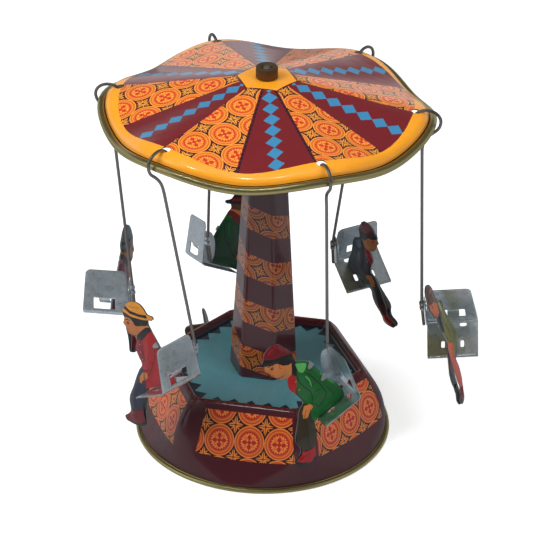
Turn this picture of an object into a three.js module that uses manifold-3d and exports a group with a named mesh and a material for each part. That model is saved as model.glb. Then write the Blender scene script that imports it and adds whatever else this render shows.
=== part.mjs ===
// Wind-up tin carousel: a round lithographed base with a clockwork movement,
// a hexagonal tapered column, a six-wave umbrella canopy and six wire-hung seats
// with flat tin riders. Millimetres, +Z up, origin at the bottom centre of the base.
import * as THREE from "three";
import { mergeVertices } from "three/addons/utils/BufferGeometryUtils.js";
import Module from "manifold-3d";

const wasm = await Module();
wasm.setup();

// ---------------------------------------------------------------- driving dimensions
const SHEET = 0.6; // tin plate thickness of the shells
const GAP = 0.3; // running and fitting clearance
const ROUND_SEG = 48; // segments round the base, column and canopy

// base and column
const BASE_RIM_R = 63.5; // outer radius of the rolled bottom edge
const BASE_ROLL_R = 1.15;
const TRAY_Z = 34.8; // top of the recessed tray
const TRAY_HOLE_R = 7;
const COLUMN_TOP_Z = 178;
const TAB_ANGLES = [90, 210, 330]; // column tabs and the slots that take them

// drive shaft
const SHAFT_R = 2.0;
const SHAFT_BORE = SHAFT_R + GAP;

// canopy
const CANOPY_Z = 190; // top of the flat hub
const CANOPY_HUB_R = 12.5;
const HOLE_PHASE = 1.745; // degrees, angle of the first hanger hole and wave crest
const HOLE_CIRCLE_R = 70;
const HOLE_D = 4.5;

// winding arbor
const KEY_AZIMUTH = 150; // degrees, direction in which the arbor points
const KEY_OFFSET = 19; // sideways offset of the arbor from the shaft
const KEY_Z = 24.5;

// ---------------------------------------------------------------- vectors and matrices
const rad = (degrees) => (degrees * Math.PI) / 180;
const vec2 = (x, y) => new THREE.Vector2(x, y);
const vec3 = (x, y, z) => new THREE.Vector3(x, y, z);
const move = (x, y, z) => new THREE.Matrix4().makeTranslation(x, y, z);
const turnX = (degrees) => new THREE.Matrix4().makeRotationX(rad(degrees));
const turnY = (degrees) => new THREE.Matrix4().makeRotationY(rad(degrees));
const turnZ = (degrees) => new THREE.Matrix4().makeRotationZ(rad(degrees));
const axes = (x, y, z) => new THREE.Matrix4().makeBasis(x, y, z);
const chain = (first, ...rest) => rest.reduce((product, m) => product.multiply(m), first.clone());

// A plate drawn in [y, z] and extruded along +x
const DRAWN_YZ = axes(vec3(0, 1, 0), vec3(0, 0, 1), vec3(1, 0, 0));
// A plate drawn in [x, z] and extruded along -y
const DRAWN_XZ = axes(vec3(1, 0, 0), vec3(0, 0, 1), vec3(0, -1, 0));

// ---------------------------------------------------------------- solid helpers
// Weld a geometry, drop collapsed triangles, face it outwards and make it a solid.
function toSolid(geometry) {
  const loose = geometry.index ? geometry.toNonIndexed() : geometry;
  const welded = mergeVertices(
    new THREE.BufferGeometry().setAttribute("position", loose.getAttribute("position")),
    1e-4,
  );
  const points = new Float32Array(welded.attributes.position.array);
  const index = welded.index.array;
  const triangles = [];
  for (let i = 0; i < index.length; i += 3) {
    const [p, q, r] = index.slice(i, i + 3);
    if (p !== q && q !== r && p !== r) triangles.push(p, q, r);
  }
  let volume = 0;
  const corners = [vec3(), vec3(), vec3()];
  for (let i = 0; i < triangles.length; i += 3) {
    corners.forEach((corner, j) => corner.fromArray(points, 3 * triangles[i + j]));
    volume += corners[0].dot(corners[1].cross(corners[2]));
  }
  if (volume < 0)
    for (let i = 0; i < triangles.length; i += 3)
      [triangles[i + 1], triangles[i + 2]] = [triangles[i + 2], triangles[i + 1]];
  return new wasm.Manifold(
    new wasm.Mesh({ numProp: 3, vertProperties: points, triVerts: new Uint32Array(triangles) }),
  );
}

function toGeometry(solid) {
  const mesh = solid.getMesh();
  const positions = new Float32Array(mesh.vertProperties);
  const geometry = new THREE.BufferGeometry();
  geometry.setAttribute("position", new THREE.BufferAttribute(positions, 3));
  geometry.setIndex(new THREE.BufferAttribute(new Uint32Array(mesh.triVerts), 1));
  geometry.computeVertexNormals();
  return geometry;
}

// Apply matrices to a solid, one after the other.
function moved(solid, ...matrices) {
  const geometry = toGeometry(solid);
  for (const matrix of matrices) geometry.applyMatrix4(matrix);
  return toSolid(geometry);
}

const largest = (solid) =>
  solid.decompose().reduce((best, part) => (part.volume() > best.volume() ? part : best));

// Profiles are [radius, z] pairs turned about Z; a closed one repeats its first point.
const latheGeometry = (profile, segments) =>
  new THREE.LatheGeometry(profile.map(([r, z]) => vec2(r, z)), segments).rotateX(Math.PI / 2);

function lathe(profile, segments, matrix = new THREE.Matrix4()) {
  return toSolid(latheGeometry(profile, segments).applyMatrix4(matrix));
}

// A cylinder along local z, centred on the matrix's origin
function cylinder(r, length, segments, matrix) {
  const geometry = new THREE.CylinderGeometry(r, r, length, segments);
  return toSolid(geometry.rotateX(Math.PI / 2).applyMatrix4(matrix));
}

// A box between the given [low, high] limits
function box([x0, x1], [y0, y1], [z0, z1], matrix = new THREE.Matrix4()) {
  const geometry = new THREE.BoxGeometry(x1 - x0, y1 - y0, z1 - z0);
  geometry.translate((x0 + x1) / 2, (y0 + y1) / 2, (z0 + z1) / 2);
  return toSolid(geometry.applyMatrix4(matrix));
}

// An outline with holes, extruded along local z
function plate(outline, depth, matrix, holes = []) {
  const shape = new THREE.Shape(outline.map(([x, y]) => vec2(x, y)));
  for (const hole of holes) shape.holes.push(new THREE.Path(hole.map(([x, y]) => vec2(x, y))));
  const geometry = new THREE.ExtrudeGeometry(shape, { depth, bevelEnabled: false });
  return toSolid(geometry.applyMatrix4(matrix));
}

const circle = (x, y, r, count) =>
  Array.from({ length: count }, (_, i) => [
    x + r * Math.cos((2 * Math.PI * i) / count),
    y + r * Math.sin((2 * Math.PI * i) / count),
  ]);

// A curve whose stations are its own points, so short bends keep all their points.
class StationCurve extends THREE.Curve {
  constructor(points) {
    super();
    this.points = points;
  }
  stationAt(u) {
    return Math.round(u * (this.points.length - 1));
  }
  getPointAt(u) {
    return this.points[this.stationAt(u)].clone();
  }
  // the mean direction of the two legs that meet at the station
  getTangentAt(u) {
    const i = this.stationAt(u);
    const here = this.points[i];
    const tangent = vec3();
    if (i > 0) tangent.add(here.clone().sub(this.points[i - 1]).normalize());
    if (i < this.points.length - 1)
      tangent.add(this.points[i + 1].clone().sub(here).normalize());
    return tangent.normalize();
  }
}

function wire(points, r, sides) {
  const section = new THREE.Shape(circle(0, 0, r, sides).map(([x, y]) => vec2(x, y)));
  return toSolid(
    new THREE.ExtrudeGeometry(section, {
      steps: points.length - 1,
      bevelEnabled: false,
      extrudePath: new StationCurve(points),
    }),
  );
}

// ---------------------------------------------------------------- materials
// name: [colour, roughness, metalness]
const FINISHES = {
  litho_maroon: [0x4c1926, 0.28, 0.0],
  litho_canopy: [0xd9902a, 0.28, 0.0],
  brass_tin: [0xb5a96a, 0.35, 0.9],
  bare_tin: [0x93a5ae, 0.35, 0.9],
  steel_wire: [0x77736c, 0.4, 0.9],
  brown_nut: [0x4a3a2a, 0.5, 0.4],
  zinc_steel: [0x8f9294, 0.4, 0.9],
  brass: [0xb08d3e, 0.35, 0.9],
  spring_steel: [0x4d5560, 0.3, 0.9],
  rider_red: [0xa51a20, 0.35, 0.0],
  rider_green: [0x2c7a35, 0.35, 0.0],
  rider_olive: [0x8a8a3a, 0.35, 0.0],
  rider_slate: [0x3a4550, 0.35, 0.0],
  rider_forest: [0x1c4a2c, 0.35, 0.0],
  rider_mauve: [0x7a3a52, 0.35, 0.0],
};
const materials = {};
for (const [name, [color, roughness, metalness]] of Object.entries(FINISHES))
  materials[name] = new THREE.MeshStandardMaterial({ name, color, roughness, metalness });

const root = new THREE.Group();
function add(name, solid, material, parent = root) {
  const mesh = new THREE.Mesh(toGeometry(solid), materials[material]);
  mesh.name = name;
  parent.add(mesh);
}

// ---------------------------------------------------------------- shaped sections
// Distance from the axis, at an angle in degrees, to a hexagon with filleted corners.
// Corners lie at multiples of 60 degrees; a fillet as large as the apothem gives a circle.
function hexagonReach(apothem, fillet, angle) {
  if (fillet >= apothem - 1e-6) return apothem;
  const fromFace = rad(Math.abs(((angle % 60) + 60) % 60 - 30));
  const filletStart = Math.atan(((apothem - fillet) * Math.tan(rad(30))) / apothem);
  if (fromFace <= filletStart) return apothem / Math.cos(fromFace);
  const filletCentre = (apothem - fillet) / Math.cos(rad(30));
  const fromCorner = rad(30) - fromFace;
  const across = filletCentre * Math.sin(fromCorner);
  const rest = Math.sqrt(Math.max(fillet * fillet - across ** 2, 0));
  return filletCentre * Math.cos(fromCorner) + rest;
}

// Lathe the stations, then push each ring out to its own section.
// section(station, angle) returns [radius, z].
function sectionLathe(stations, section) {
  const geometry = latheGeometry(stations, ROUND_SEG);
  const position = geometry.attributes.position;
  for (let i = 0; i < position.count; i++) {
    const column = Math.floor(i / stations.length) % ROUND_SEG;
    const angle = -90 + (360 * column) / ROUND_SEG;
    const [r, z] = section(stations[i % stations.length], angle);
    position.setXYZ(i, r * Math.cos(rad(angle)), r * Math.sin(rad(angle)), z);
  }
  return toSolid(geometry);
}

// Stations are [apothem, z, corner fillet]; without a fillet the ring is round.
const hexagonSection = ([apothem, z, fillet = Infinity], angle) =>
  [hexagonReach(apothem, fillet, angle), z];

// ---------------------------------------------------------------- movement frame
// Plane coordinates: x sideways (anticlockwise of the key's azimuth seen from above), y up.
// The third axis runs outwards along the key's azimuth.
const KEY_DIR = vec3(Math.cos(rad(KEY_AZIMUTH)), Math.sin(rad(KEY_AZIMUTH)), 0);
const KEY_SIDE = vec3(-KEY_DIR.y, KEY_DIR.x, 0);
function inMovement({ x, y }, out) {
  const origin = KEY_DIR.clone().multiplyScalar(out).addScaledVector(KEY_SIDE, x);
  return axes(KEY_SIDE, vec3(0, 0, 1), KEY_DIR).setPosition(origin.add(vec3(0, 0, y)));
}
const PLANE_ORIGIN = vec2(0, 0);
const WINDING_AXIS = vec2(-KEY_OFFSET, KEY_Z);

// ---------------------------------------------------------------- base
const ROLL_CENTRE_R = BASE_RIM_R - BASE_ROLL_R;
const ROLL_DIAGONAL = 0.81; // offset of the roll's 45 degree points

const BASE_STATIONS = [
  // rolled edge
  [61.5, 3.0], [61.75, 2.35],
  [ROLL_CENTRE_R, 2 * BASE_ROLL_R],
  [ROLL_CENTRE_R + ROLL_DIAGONAL, BASE_ROLL_R + ROLL_DIAGONAL],
  [ROLL_CENTRE_R + BASE_ROLL_R, BASE_ROLL_R],
  [ROLL_CENTRE_R + ROLL_DIAGONAL, BASE_ROLL_R - ROLL_DIAGONAL],
  [ROLL_CENTRE_R, 0],
  [ROLL_CENTRE_R - ROLL_DIAGONAL, BASE_ROLL_R - ROLL_DIAGONAL],
  [60.95, BASE_ROLL_R],
  // up the inside and in under the tray
  [60.9, 3.0], [58.3, 7.9, 41], [55.3, 13.9, 19.3], [51.5, 24.8, 7.1], [47.05, 33.1, 4.7],
  [44.6, 36.1, 4.6], [43.1, 37.3, 4.3], [42.25, 36.9, 4.0], [41.7, TRAY_Z - SHEET, 3.9],
  [TRAY_HOLE_R, TRAY_Z - SHEET],
  // out over the tray and down the outside
  [TRAY_HOLE_R, TRAY_Z], [41.1, TRAY_Z, 3.5],
  [41.6, 37.3, 3.8], [42.9, 38.0, 4.3], [44.3, 37.4, 4.6], [45.7, 35.9, 4.9], [47.6, 33.5, 5.0],
  [52.1, 25.0, 7.5], [55.9, 14.0, 19.7], [58.9, 8.0, 41.4],
  [61.5, 3.0],
];

function baseShell() {
  let shell = sectionLathe(BASE_STATIONS, hexagonSection);
  shell = shell.subtract(cylinder(3.0, 24, 16, inMovement(WINDING_AXIS, 52))); // key hole
  for (const angle of TAB_ANGLES)
    shell = shell.subtract(
      box([13.9, 15.4], [-3.4, 3.4], [TRAY_Z - 2, TRAY_Z + 1], turnZ(angle)),
    );
  return shell;
}
add("base_shell", baseShell(), "litho_maroon");
add("bottom_plate", lathe([[0, 0], [60.5, 0], [60.5, 0.8], [0, 0.8]], ROUND_SEG), "brass_tin");

const FOOTSTEP = [
  [0, 1.1], [6, 1.1], [6, 2.1], [3.9, 2.1], [3.9, 6], [SHAFT_BORE, 6], [SHAFT_BORE, 2.3], [0, 2.3],
];
add("footstep_bearing", lathe(FOOTSTEP, 20), "brass");

// ---------------------------------------------------------------- column
const COLUMN_CORNER = 16.8; // unfilleted section: corner distance at tray height, with fillet
const COLUMN_TAPER = 0.0593; // loss of corner distance per mm of height
const COLUMN_FILLET = 3.2; // corner fillet at tray height
const FILLET_TAPER = 0.006; // loss of fillet per mm of height
const CORNER_RATIO = 1 / Math.cos(rad(30)); // corner distance of a sharp hexagon over apothem

function columnStation(z, inset) {
  const height = z - TRAY_Z;
  const corner = COLUMN_CORNER - COLUMN_TAPER * height;
  const fillet = COLUMN_FILLET - FILLET_TAPER * height;
  const apothem = (corner + (CORNER_RATIO - 1) * fillet) / CORNER_RATIO;
  return [apothem - inset, z, fillet - inset * 0.8];
}

function columnShell() {
  const foot = TRAY_Z + GAP;
  const stations = [
    columnStation(foot, 0), columnStation(COLUMN_TOP_Z, 0),
    columnStation(COLUMN_TOP_Z, SHEET), columnStation(foot, SHEET), columnStation(foot, 0),
  ];
  let shell = sectionLathe(stations, hexagonSection);
  for (const angle of TAB_ANGLES)
    shell = shell.add(
      box([14.3, 14.3 + SHEET], [-2.8, 2.8], [TRAY_Z - 1.4, TRAY_Z + 2], turnZ(angle)),
    );
  return shell;
}
add("column_shell", columnShell(), "litho_maroon");

const BUSHING = [
  [SHAFT_BORE, 173], [6.1, 173], [6.1, COLUMN_TOP_Z + GAP], [8.6, COLUMN_TOP_Z + GAP],
  [8.6, 179.2], [4.5, 179.2], [4.5, 180.4], [SHAFT_BORE, 180.4], [SHAFT_BORE, 173],
];
add("column_top_bushing", lathe(BUSHING, 24), "brass");

// ---------------------------------------------------------------- canopy
const CANOPY_SLOPE = 0.2265;
const EDGE_ROLL = { r: 1.9, centreR: 76.06, centreZ: 171.15 };
const WAVE_Z = 2.26; // height of the six waves at the rim
const WAVE_R = 1.7; // radial bulge of the six waves at the rim
const slopeZ = (r) => CANOPY_Z - CANOPY_SLOPE * (r - CANOPY_HUB_R);

// [radius, z] before the waves are added
const CANOPY_STATIONS = [
  // top face
  [SHAFT_BORE, CANOPY_Z], [CANOPY_HUB_R, CANOPY_Z], [66.5, slopeZ(66.5)],
  [69.7, 176.75], [72.1, 175.0], [73.5, 172.9], [74.0, 171.7],
  // rolled edge
  ...[157, 100, 50, 0, -50, -100, -150].map((angle) => [
    EDGE_ROLL.centreR + EDGE_ROLL.r * Math.cos(rad(angle)),
    EDGE_ROLL.centreZ + EDGE_ROLL.r * Math.sin(rad(angle)),
  ]),
  // underside
  [73.35, 171.2], [72.95, 172.6], [71.7, 174.4], [69.4, 176.1], [66.3, slopeZ(66.3) - SHEET],
  [CANOPY_HUB_R - 0.2, CANOPY_Z - SHEET], [SHAFT_BORE, CANOPY_Z - SHEET],
  [SHAFT_BORE, CANOPY_Z],
];

function canopySection([r, z], angle) {
  const wave = Math.cos(rad(6 * (angle - HOLE_PHASE)));
  const span = EDGE_ROLL.centreR - CANOPY_HUB_R;
  const lift = THREE.MathUtils.clamp((r - CANOPY_HUB_R) / span, 0, 1);
  const bulge = THREE.MathUtils.clamp((r - 60) / 14, 0, 1);
  return [r + WAVE_R * bulge * wave, z + WAVE_Z * lift * wave];
}

function canopySheet() {
  let sheet = sectionLathe(CANOPY_STATIONS, canopySection);
  for (let i = 0; i < 6; i++) {
    const angle = rad(HOLE_PHASE + 60 * i);
    const place = move(HOLE_CIRCLE_R * Math.cos(angle), HOLE_CIRCLE_R * Math.sin(angle), 177);
    sheet = sheet.subtract(cylinder(HOLE_D / 2, 10, 12, place));
  }
  return sheet;
}
add("canopy_sheet", canopySheet(), "litho_canopy");

const COLLAR = [
  [SHAFT_BORE, 181], [4.6, 181], [4.6, 187.6], [9, 187.6], [9, 189.1],
  [SHAFT_BORE, 189.1], [SHAFT_BORE, 181],
];
add("canopy_collar", lathe(COLLAR, 24), "zinc_steel");

const NUT = [
  [SHAFT_BORE, 190.3], [4.9, 190.3], [5.15, 190.7], [5.15, 195.4], [4.8, 195.9], [3.1, 195.9],
  [2.6, 195.0], [SHAFT_BORE, 195.0], [SHAFT_BORE, 190.3],
];
add("top_nut", lathe(NUT, 24), "brown_nut");

const SHAFT = [[0, 2.7], [1.2, 2.7], [SHAFT_R, 3.4], [SHAFT_R, 195.0], [1.5, 195.5], [0, 195.5]];
add("drive_shaft", lathe(SHAFT, 16), "zinc_steel");

// ---------------------------------------------------------------- gear train
const MODULE = 0.8;
const TEETH = {
  great: 20, secondPinion: 8, secondWheel: 20, contratePinion: 8, contrate: 20, shaftPinion: 12,
};
const ARBOR_R = { winding: 1.6, second: 1.0, contrate: 1.2 };
const pitchRadius = (teeth) => (teeth * MODULE) / 2;

// The second axis lies below the line from the winding axis to the contrate axis,
// at both meshing distances.
const CONTRATE_AXIS = vec2(0, 13);
function secondAxis() {
  const toWinding = pitchRadius(TEETH.great + TEETH.secondPinion);
  const toContrate = pitchRadius(TEETH.secondWheel + TEETH.contratePinion);
  const span = CONTRATE_AXIS.clone().sub(WINDING_AXIS);
  const length = span.length();
  const along = (toWinding ** 2 - toContrate ** 2 + length ** 2) / (2 * length);
  const off = Math.sqrt(toWinding ** 2 - along ** 2);
  const dir = span.divideScalar(length);
  return WINDING_AXIS.clone().addScaledVector(dir, along).addScaledVector(vec2(dir.y, -dir.x), off);
}
const SECOND_AXIS = secondAxis();
root.userData.movement = {
  A: WINDING_AXIS, B: SECOND_AXIS, C: CONTRATE_AXIS, U: KEY_DIR, L: KEY_SIDE.clone().negate(),
};

const direction = (from, to) => Math.atan2(to.y - from.y, to.x - from.x);
const FIRST_MESH = direction(WINDING_AXIS, SECOND_AXIS);
const SECOND_MESH = direction(SECOND_AXIS, CONTRATE_AXIS);

// Straight-sided teeth, thinned for backlash. phase: angle of the first tooth's centre.
function gear(teeth, phase, arborR, depth, matrix) {
  const pitchAngle = (2 * Math.PI) / teeth;
  const root = pitchRadius(teeth) - 1.2 * MODULE;
  const tip = pitchRadius(teeth) + 0.72 * MODULE;
  const tooth = [[root, -0.27], [tip, -0.1], [tip, 0.1], [root, 0.27]]; // [r, part of a pitch]
  const outline = [];
  for (let i = 0; i < teeth; i++)
    for (const [r, part] of tooth) {
      const angle = phase + i * pitchAngle + part * pitchAngle;
      outline.push([r * Math.cos(angle), r * Math.sin(angle)]);
    }
  return plate(outline, depth, matrix, [circle(0, 0, arborR + GAP, 12)]);
}
// phase of a pinion that puts a tooth space towards the wheel that meets it
const pinionPhase = (mesh, teeth) => mesh + Math.PI + Math.PI / teeth;

// [name, teeth, phase, arbor radius, face width, axis, inner face, material]
const GEARS = [
  ["great_wheel", TEETH.great, FIRST_MESH, ARBOR_R.winding, 1.8, WINDING_AXIS, 12, "brass"],
  ["second_pinion", TEETH.secondPinion, pinionPhase(FIRST_MESH, TEETH.secondPinion),
    ARBOR_R.second, 2.4, SECOND_AXIS, 11.7, "zinc_steel"],
  ["second_wheel", TEETH.secondWheel, SECOND_MESH, ARBOR_R.second, 1.6, SECOND_AXIS, 15.2, "brass"],
  ["contrate_pinion", TEETH.contratePinion, pinionPhase(SECOND_MESH, TEETH.contratePinion),
    ARBOR_R.contrate, 2.4, CONTRATE_AXIS, 14.8, "zinc_steel"],
];
for (const [name, teeth, phase, arborR, width, axis, out, material] of GEARS)
  add(name, gear(teeth, phase, arborR, width, inMovement(axis, out)), material);

// A disc whose teeth stand on its inner face, towards the shaft pinion
function contrateWheel() {
  const pitchR = pitchRadius(TEETH.contrate);
  const pitchAngle = (2 * Math.PI) / TEETH.contrate;
  const toothPitch = pitchR * pitchAngle;
  const face = pitchRadius(TEETH.shaftPinion) + 0.95;
  const tip = pitchRadius(TEETH.shaftPinion) - 0.5;
  const toothLength = 1.8; // radial
  // tooth section: [tangential, along the axis]
  const tooth = [
    [-0.25 * toothPitch, face + 0.2], [0.25 * toothPitch, face + 0.2],
    [0.11 * toothPitch, tip], [-0.11 * toothPitch, tip],
  ];
  const bore = circle(0, 0, ARBOR_R.contrate + GAP, 12);
  const disc = circle(0, 0, pitchR + 1.2, 32);
  let wheel = plate(disc, 1.5, inMovement(CONTRATE_AXIS, face), [bore]);
  for (let i = 0; i < TEETH.contrate; i++) {
    const angle = Math.PI / 2 + i * pitchAngle;
    const radial = vec3(Math.cos(angle), Math.sin(angle), 0);
    const place = axes(vec3(-radial.y, radial.x, 0), vec3(0, 0, 1), radial);
    place.setPosition(radial.clone().multiplyScalar(pitchR - toothLength / 2));
    wheel = wheel.add(plate(tooth, toothLength, chain(inMovement(CONTRATE_AXIS, 0), place)));
  }
  return wheel;
}
add("contrate_wheel", contrateWheel(), "brass");

function shaftPinion() {
  const width = 2.4;
  const phase = rad(KEY_AZIMUTH) + Math.PI / TEETH.shaftPinion;
  const z = CONTRATE_AXIS.y + pitchRadius(TEETH.contrate) - width / 2;
  return gear(TEETH.shaftPinion, phase, SHAFT_R, width, move(0, 0, z));
}
add("shaft_pinion", shaftPinion(), "zinc_steel");

// [name, radius, inner end, outer end, axis]
const ARBORS = [
  ["winding_arbor", ARBOR_R.winding, 8.8, 55.0, WINDING_AXIS],
  ["second_arbor", ARBOR_R.second, 8.8, 28.8, SECOND_AXIS],
  ["contrate_arbor", ARBOR_R.contrate, 5.4, 28.8, CONTRATE_AXIS],
];
for (const [name, r, start, end, axis] of ARBORS) {
  const profile = [[0, start], [r, start], [r, end], [0, end]];
  add(name, lathe(profile, 14, inMovement(axis, 0)), "zinc_steel");
}

// ---------------------------------------------------------------- movement frame plates
const PLATE_OUTLINE = [[-31.5, 1.1], [6, 1.1], [6, 33.0], [-31.5, 33.0]];
const PILLARS = [vec2(3.4, 28.5), vec2(3.4, 4.6), vec2(-28.6, 5.0), vec2(-28.9, 30.9)];
const PILLAR_R = 1.8; // between the plates
const PILLAR_END_R = 1.0; // through the plates
const PILLAR_PROFILE = [
  [0, 9.0], [PILLAR_END_R, 9.0], [PILLAR_END_R, 10.8], [PILLAR_R, 10.8],
  [PILLAR_R, 26.7], [PILLAR_END_R, 26.7], [PILLAR_END_R, 28.6], [0, 28.6],
];
const PLATE_HOLES = [
  circle(WINDING_AXIS.x, WINDING_AXIS.y, ARBOR_R.winding + GAP, 12),
  circle(SECOND_AXIS.x, SECOND_AXIS.y, ARBOR_R.second + GAP, 12),
  circle(CONTRATE_AXIS.x, CONTRATE_AXIS.y, ARBOR_R.contrate + GAP, 12),
  ...PILLARS.map(({ x, y }) => circle(x, y, PILLAR_END_R + GAP, 10)),
];
for (const [name, out] of [["movement_plate_inner", 9.5], ["movement_plate_outer", 27.0]])
  add(name, plate(PLATE_OUTLINE, 1.0, inMovement(PLANE_ORIGIN, out), PLATE_HOLES), "zinc_steel");
PILLARS.forEach((place, i) => {
  const pillar = lathe(PILLAR_PROFILE, 12, inMovement(place, 0));
  add("movement_pillar_" + (i + 1), pillar, "zinc_steel");
});

// A flat strip wound from the winding arbor out to the fourth pillar
function mainspring() {
  const anchor = PILLARS[3];
  const endAngle = direction(WINDING_AXIS, anchor);
  const thickness = 0.45;
  const endR = anchor.distanceTo(WINDING_AXIS) - PILLAR_R - 0.35 - thickness;
  const turns = 4.6;
  const startR = ARBOR_R.winding + 0.4;
  const coilR = 8.9; // where the even coil would end
  const tail = 0.94; // part of the strip after which it runs out to the pillar
  const steps = 60;
  const at = (r, angle) =>
    [WINDING_AXIS.x + r * Math.cos(angle), WINDING_AXIS.y + r * Math.sin(angle)];
  const outer = [];
  const inner = [];
  for (let i = 0; i <= steps; i++) {
    const k = i / steps;
    const angle = endAngle - 2 * Math.PI * turns * (1 - k);
    const runOut = k > tail ? ((endR - coilR) * (k - tail)) / (1 - tail) : 0;
    const r = startR + (coilR - startR) * k + runOut;
    outer.push(at(r + thickness, angle));
    inner.unshift(at(r, angle));
  }
  return plate([...outer, ...inner], 7, inMovement(PLANE_ORIGIN, 18.8));
}
add("mainspring", mainspring(), "spring_steel");

// ---------------------------------------------------------------- winding key
const KEY_BORE = ARBOR_R.winding + GAP;
const KEY_HUB = [
  [KEY_BORE, 53.0], [2.6, 53.0], [2.6, 56.6], [0, 56.6], [0, 55.4], [KEY_BORE, 55.4],
  [KEY_BORE, 53.0],
];
// [distance from the hub, half width]
const KEY_EAR = [[0, 3.0], [4, 3.9], [7.4, 4.7], [9.8, 4.2], [11.1, 2.5]];
const KEY_EAR_TIP = [11.6, 0];

function keyEar(side) {
  const outline = [
    ...KEY_EAR.map(([x, y]) => [x, -y]), KEY_EAR_TIP, ...KEY_EAR.toReversed(),
  ];
  const splay = rad(45);
  const thickness = 1.0;
  const along = vec3(side * Math.sin(splay), 0, Math.cos(splay));
  const across = vec3(0, 1, 0);
  const place = axes(along, across, along.clone().cross(across)).setPosition(0, 0, 55.7);
  return plate(outline, thickness, chain(place, move(0, 0, -thickness / 2)));
}

// A blind socket on the arbor with two rounded ears bent apart
function windingKey() {
  const ears = keyEar(1).add(keyEar(-1)).subtract(box([-9, 9], [-9, 9], [50, 55.5]));
  return moved(lathe(KEY_HUB, 18).add(ears), turnZ(-25), inMovement(WINDING_AXIS, 0));
}
add("winding_key", windingKey(), "bare_tin");

// ---------------------------------------------------------------- seats
// Seat frame: x forward, y outward, z up, fold line along y at the origin
const SEAT = { width: 24.8, topWidth: 21.4, height: 21.7, depth: 21.3, sheet: 0.5 };
const PAN_TILT = turnY(11.7); // the pan slopes down towards its front
const CRIMP_X = [-1.2, 2.6];
const CRIMP_Z = [11.2, 14.8];
const SEAT_EAR = [
  [-0.3, 1.0], [3.4, 0.8], [5.4, 3.2], [5.8, 8.0], [5.0, 13.4], [2.8, 17.2], [-0.3, 17.8],
];
const SEAT_TAB = [
  [-0.5, 7.7], [-0.5, 7.0], [1.2, 5.6], [2.6, 4.9], [2.8, 5.4], [1.5, 6.2], [0.1, 7.6],
];
const rectangle = ([x0, x1], [y0, y1]) => [[x0, y0], [x1, y0], [x1, y1], [x0, y1]];

function seatBack() {
  const half = SEAT.width / 2;
  const top = SEAT.topWidth / 2;
  const height = SEAT.height;
  const corner = 2.6;
  const outline = [
    [-half, -0.5], [half, -0.5], [half, 1],
    [top, height - corner], [top - 0.8, height - 0.7], [top - corner, height],
    [-top + corner, height], [-top + 0.8, height - 0.7], [-top, height - corner],
    [-half, 1],
  ];
  const slot = rectangle([-4.9, 6.7], [2.2, 7.6]);
  return plate(outline, SEAT.sheet, chain(move(-SEAT.sheet, 0, 0), DRAWN_YZ), [slot]);
}

function seatPan() {
  const half = SEAT.width / 2;
  const { depth, sheet } = SEAT;
  const outline = [
    [-sheet, -half], [depth - 1, -half], [depth, -half + 1],
    [depth, half - 1], [depth - 1, half], [-sheet, half],
  ];
  const slots = [[3.8, 5.6], [-5.6, -3.8]].map((y) => rectangle([11.4, 15.4], y));
  return plate(outline, sheet, chain(PAN_TILT, move(0, 0, -sheet)), slots);
}

// The ear and the crimp round the wire are on the inner side.
function seat(wireChannel) {
  const innerY = -SEAT.width / 2;
  const earPlace = chain(move(0, innerY + SEAT.sheet - 0.1, 0), DRAWN_XZ);
  const ear = plate(SEAT_EAR, SEAT.sheet, earPlace);
  const crimp = box(CRIMP_X, [-15.3, innerY + 0.1], CRIMP_Z);
  // tab pressed out of the back's slot and curled forward
  const tab = plate(SEAT_TAB, 5.8, chain(move(0, 3.9, 0), DRAWN_XZ));
  const whole = seatBack().add(seatPan()).add(ear).add(crimp).add(tab);
  return largest(whole.subtract(wireChannel));
}

// ---------------------------------------------------------------- hanger wires
const WIRE_R = 0.75;
const HINGE_R = 75.2; // the hook turns about this circle
const HINGE_Z = 174.6;
const HOOK_R = 6.5;
const HOOK_TOP = 5.4; // the hook is flattened where it passes over the canopy
// bends below the hook: [forward, radial, z]
const WIRE_BENDS = [[-0.4, 76.4, 167.0], [-1.0, 74.2, 163.6], [-1.6, 73.4, 159.6]];
// the wire at the crimp and at its lower end, in the seat frame
const WIRE_Y = -13.75;
const WIRE_AT_CRIMP = [(CRIMP_X[0] + CRIMP_X[1]) / 2, WIRE_Y, (CRIMP_Z[0] + CRIMP_Z[1]) / 2];
const WIRE_END = [3.6, WIRE_Y, 2.2];

// Hook end first
function hangerPoints(hangerFrame, seatFrame) {
  const points = [[0, HINGE_R - 6.4, HINGE_Z - 6.6]];
  for (let angle = 180; angle >= -55; angle -= 23.5) {
    const rise = angle > 0 ? HOOK_TOP : HOOK_R;
    points.push([
      0,
      HINGE_R + HOOK_R * Math.cos(rad(angle)),
      HINGE_Z + rise * Math.sin(rad(angle)),
    ]);
  }
  points.push(...WIRE_BENDS);
  return [
    ...points.map((point) => vec3(...point).applyMatrix4(hangerFrame)),
    vec3(...WIRE_AT_CRIMP).applyMatrix4(seatFrame),
    vec3(...WIRE_END).applyMatrix4(seatFrame),
  ];
}

// The wire's last two legs, thickened and lengthened for clearance, in the seat frame
function wireChannel(points, seatFrame) {
  const [bend, crimp, end] = points.slice(-3);
  const beyond = end.clone().add(end.clone().sub(crimp).setLength(0.6));
  const thick = wire([bend, crimp, beyond], WIRE_R + 0.38, 8);
  return moved(thick, seatFrame.clone().invert());
}

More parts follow.
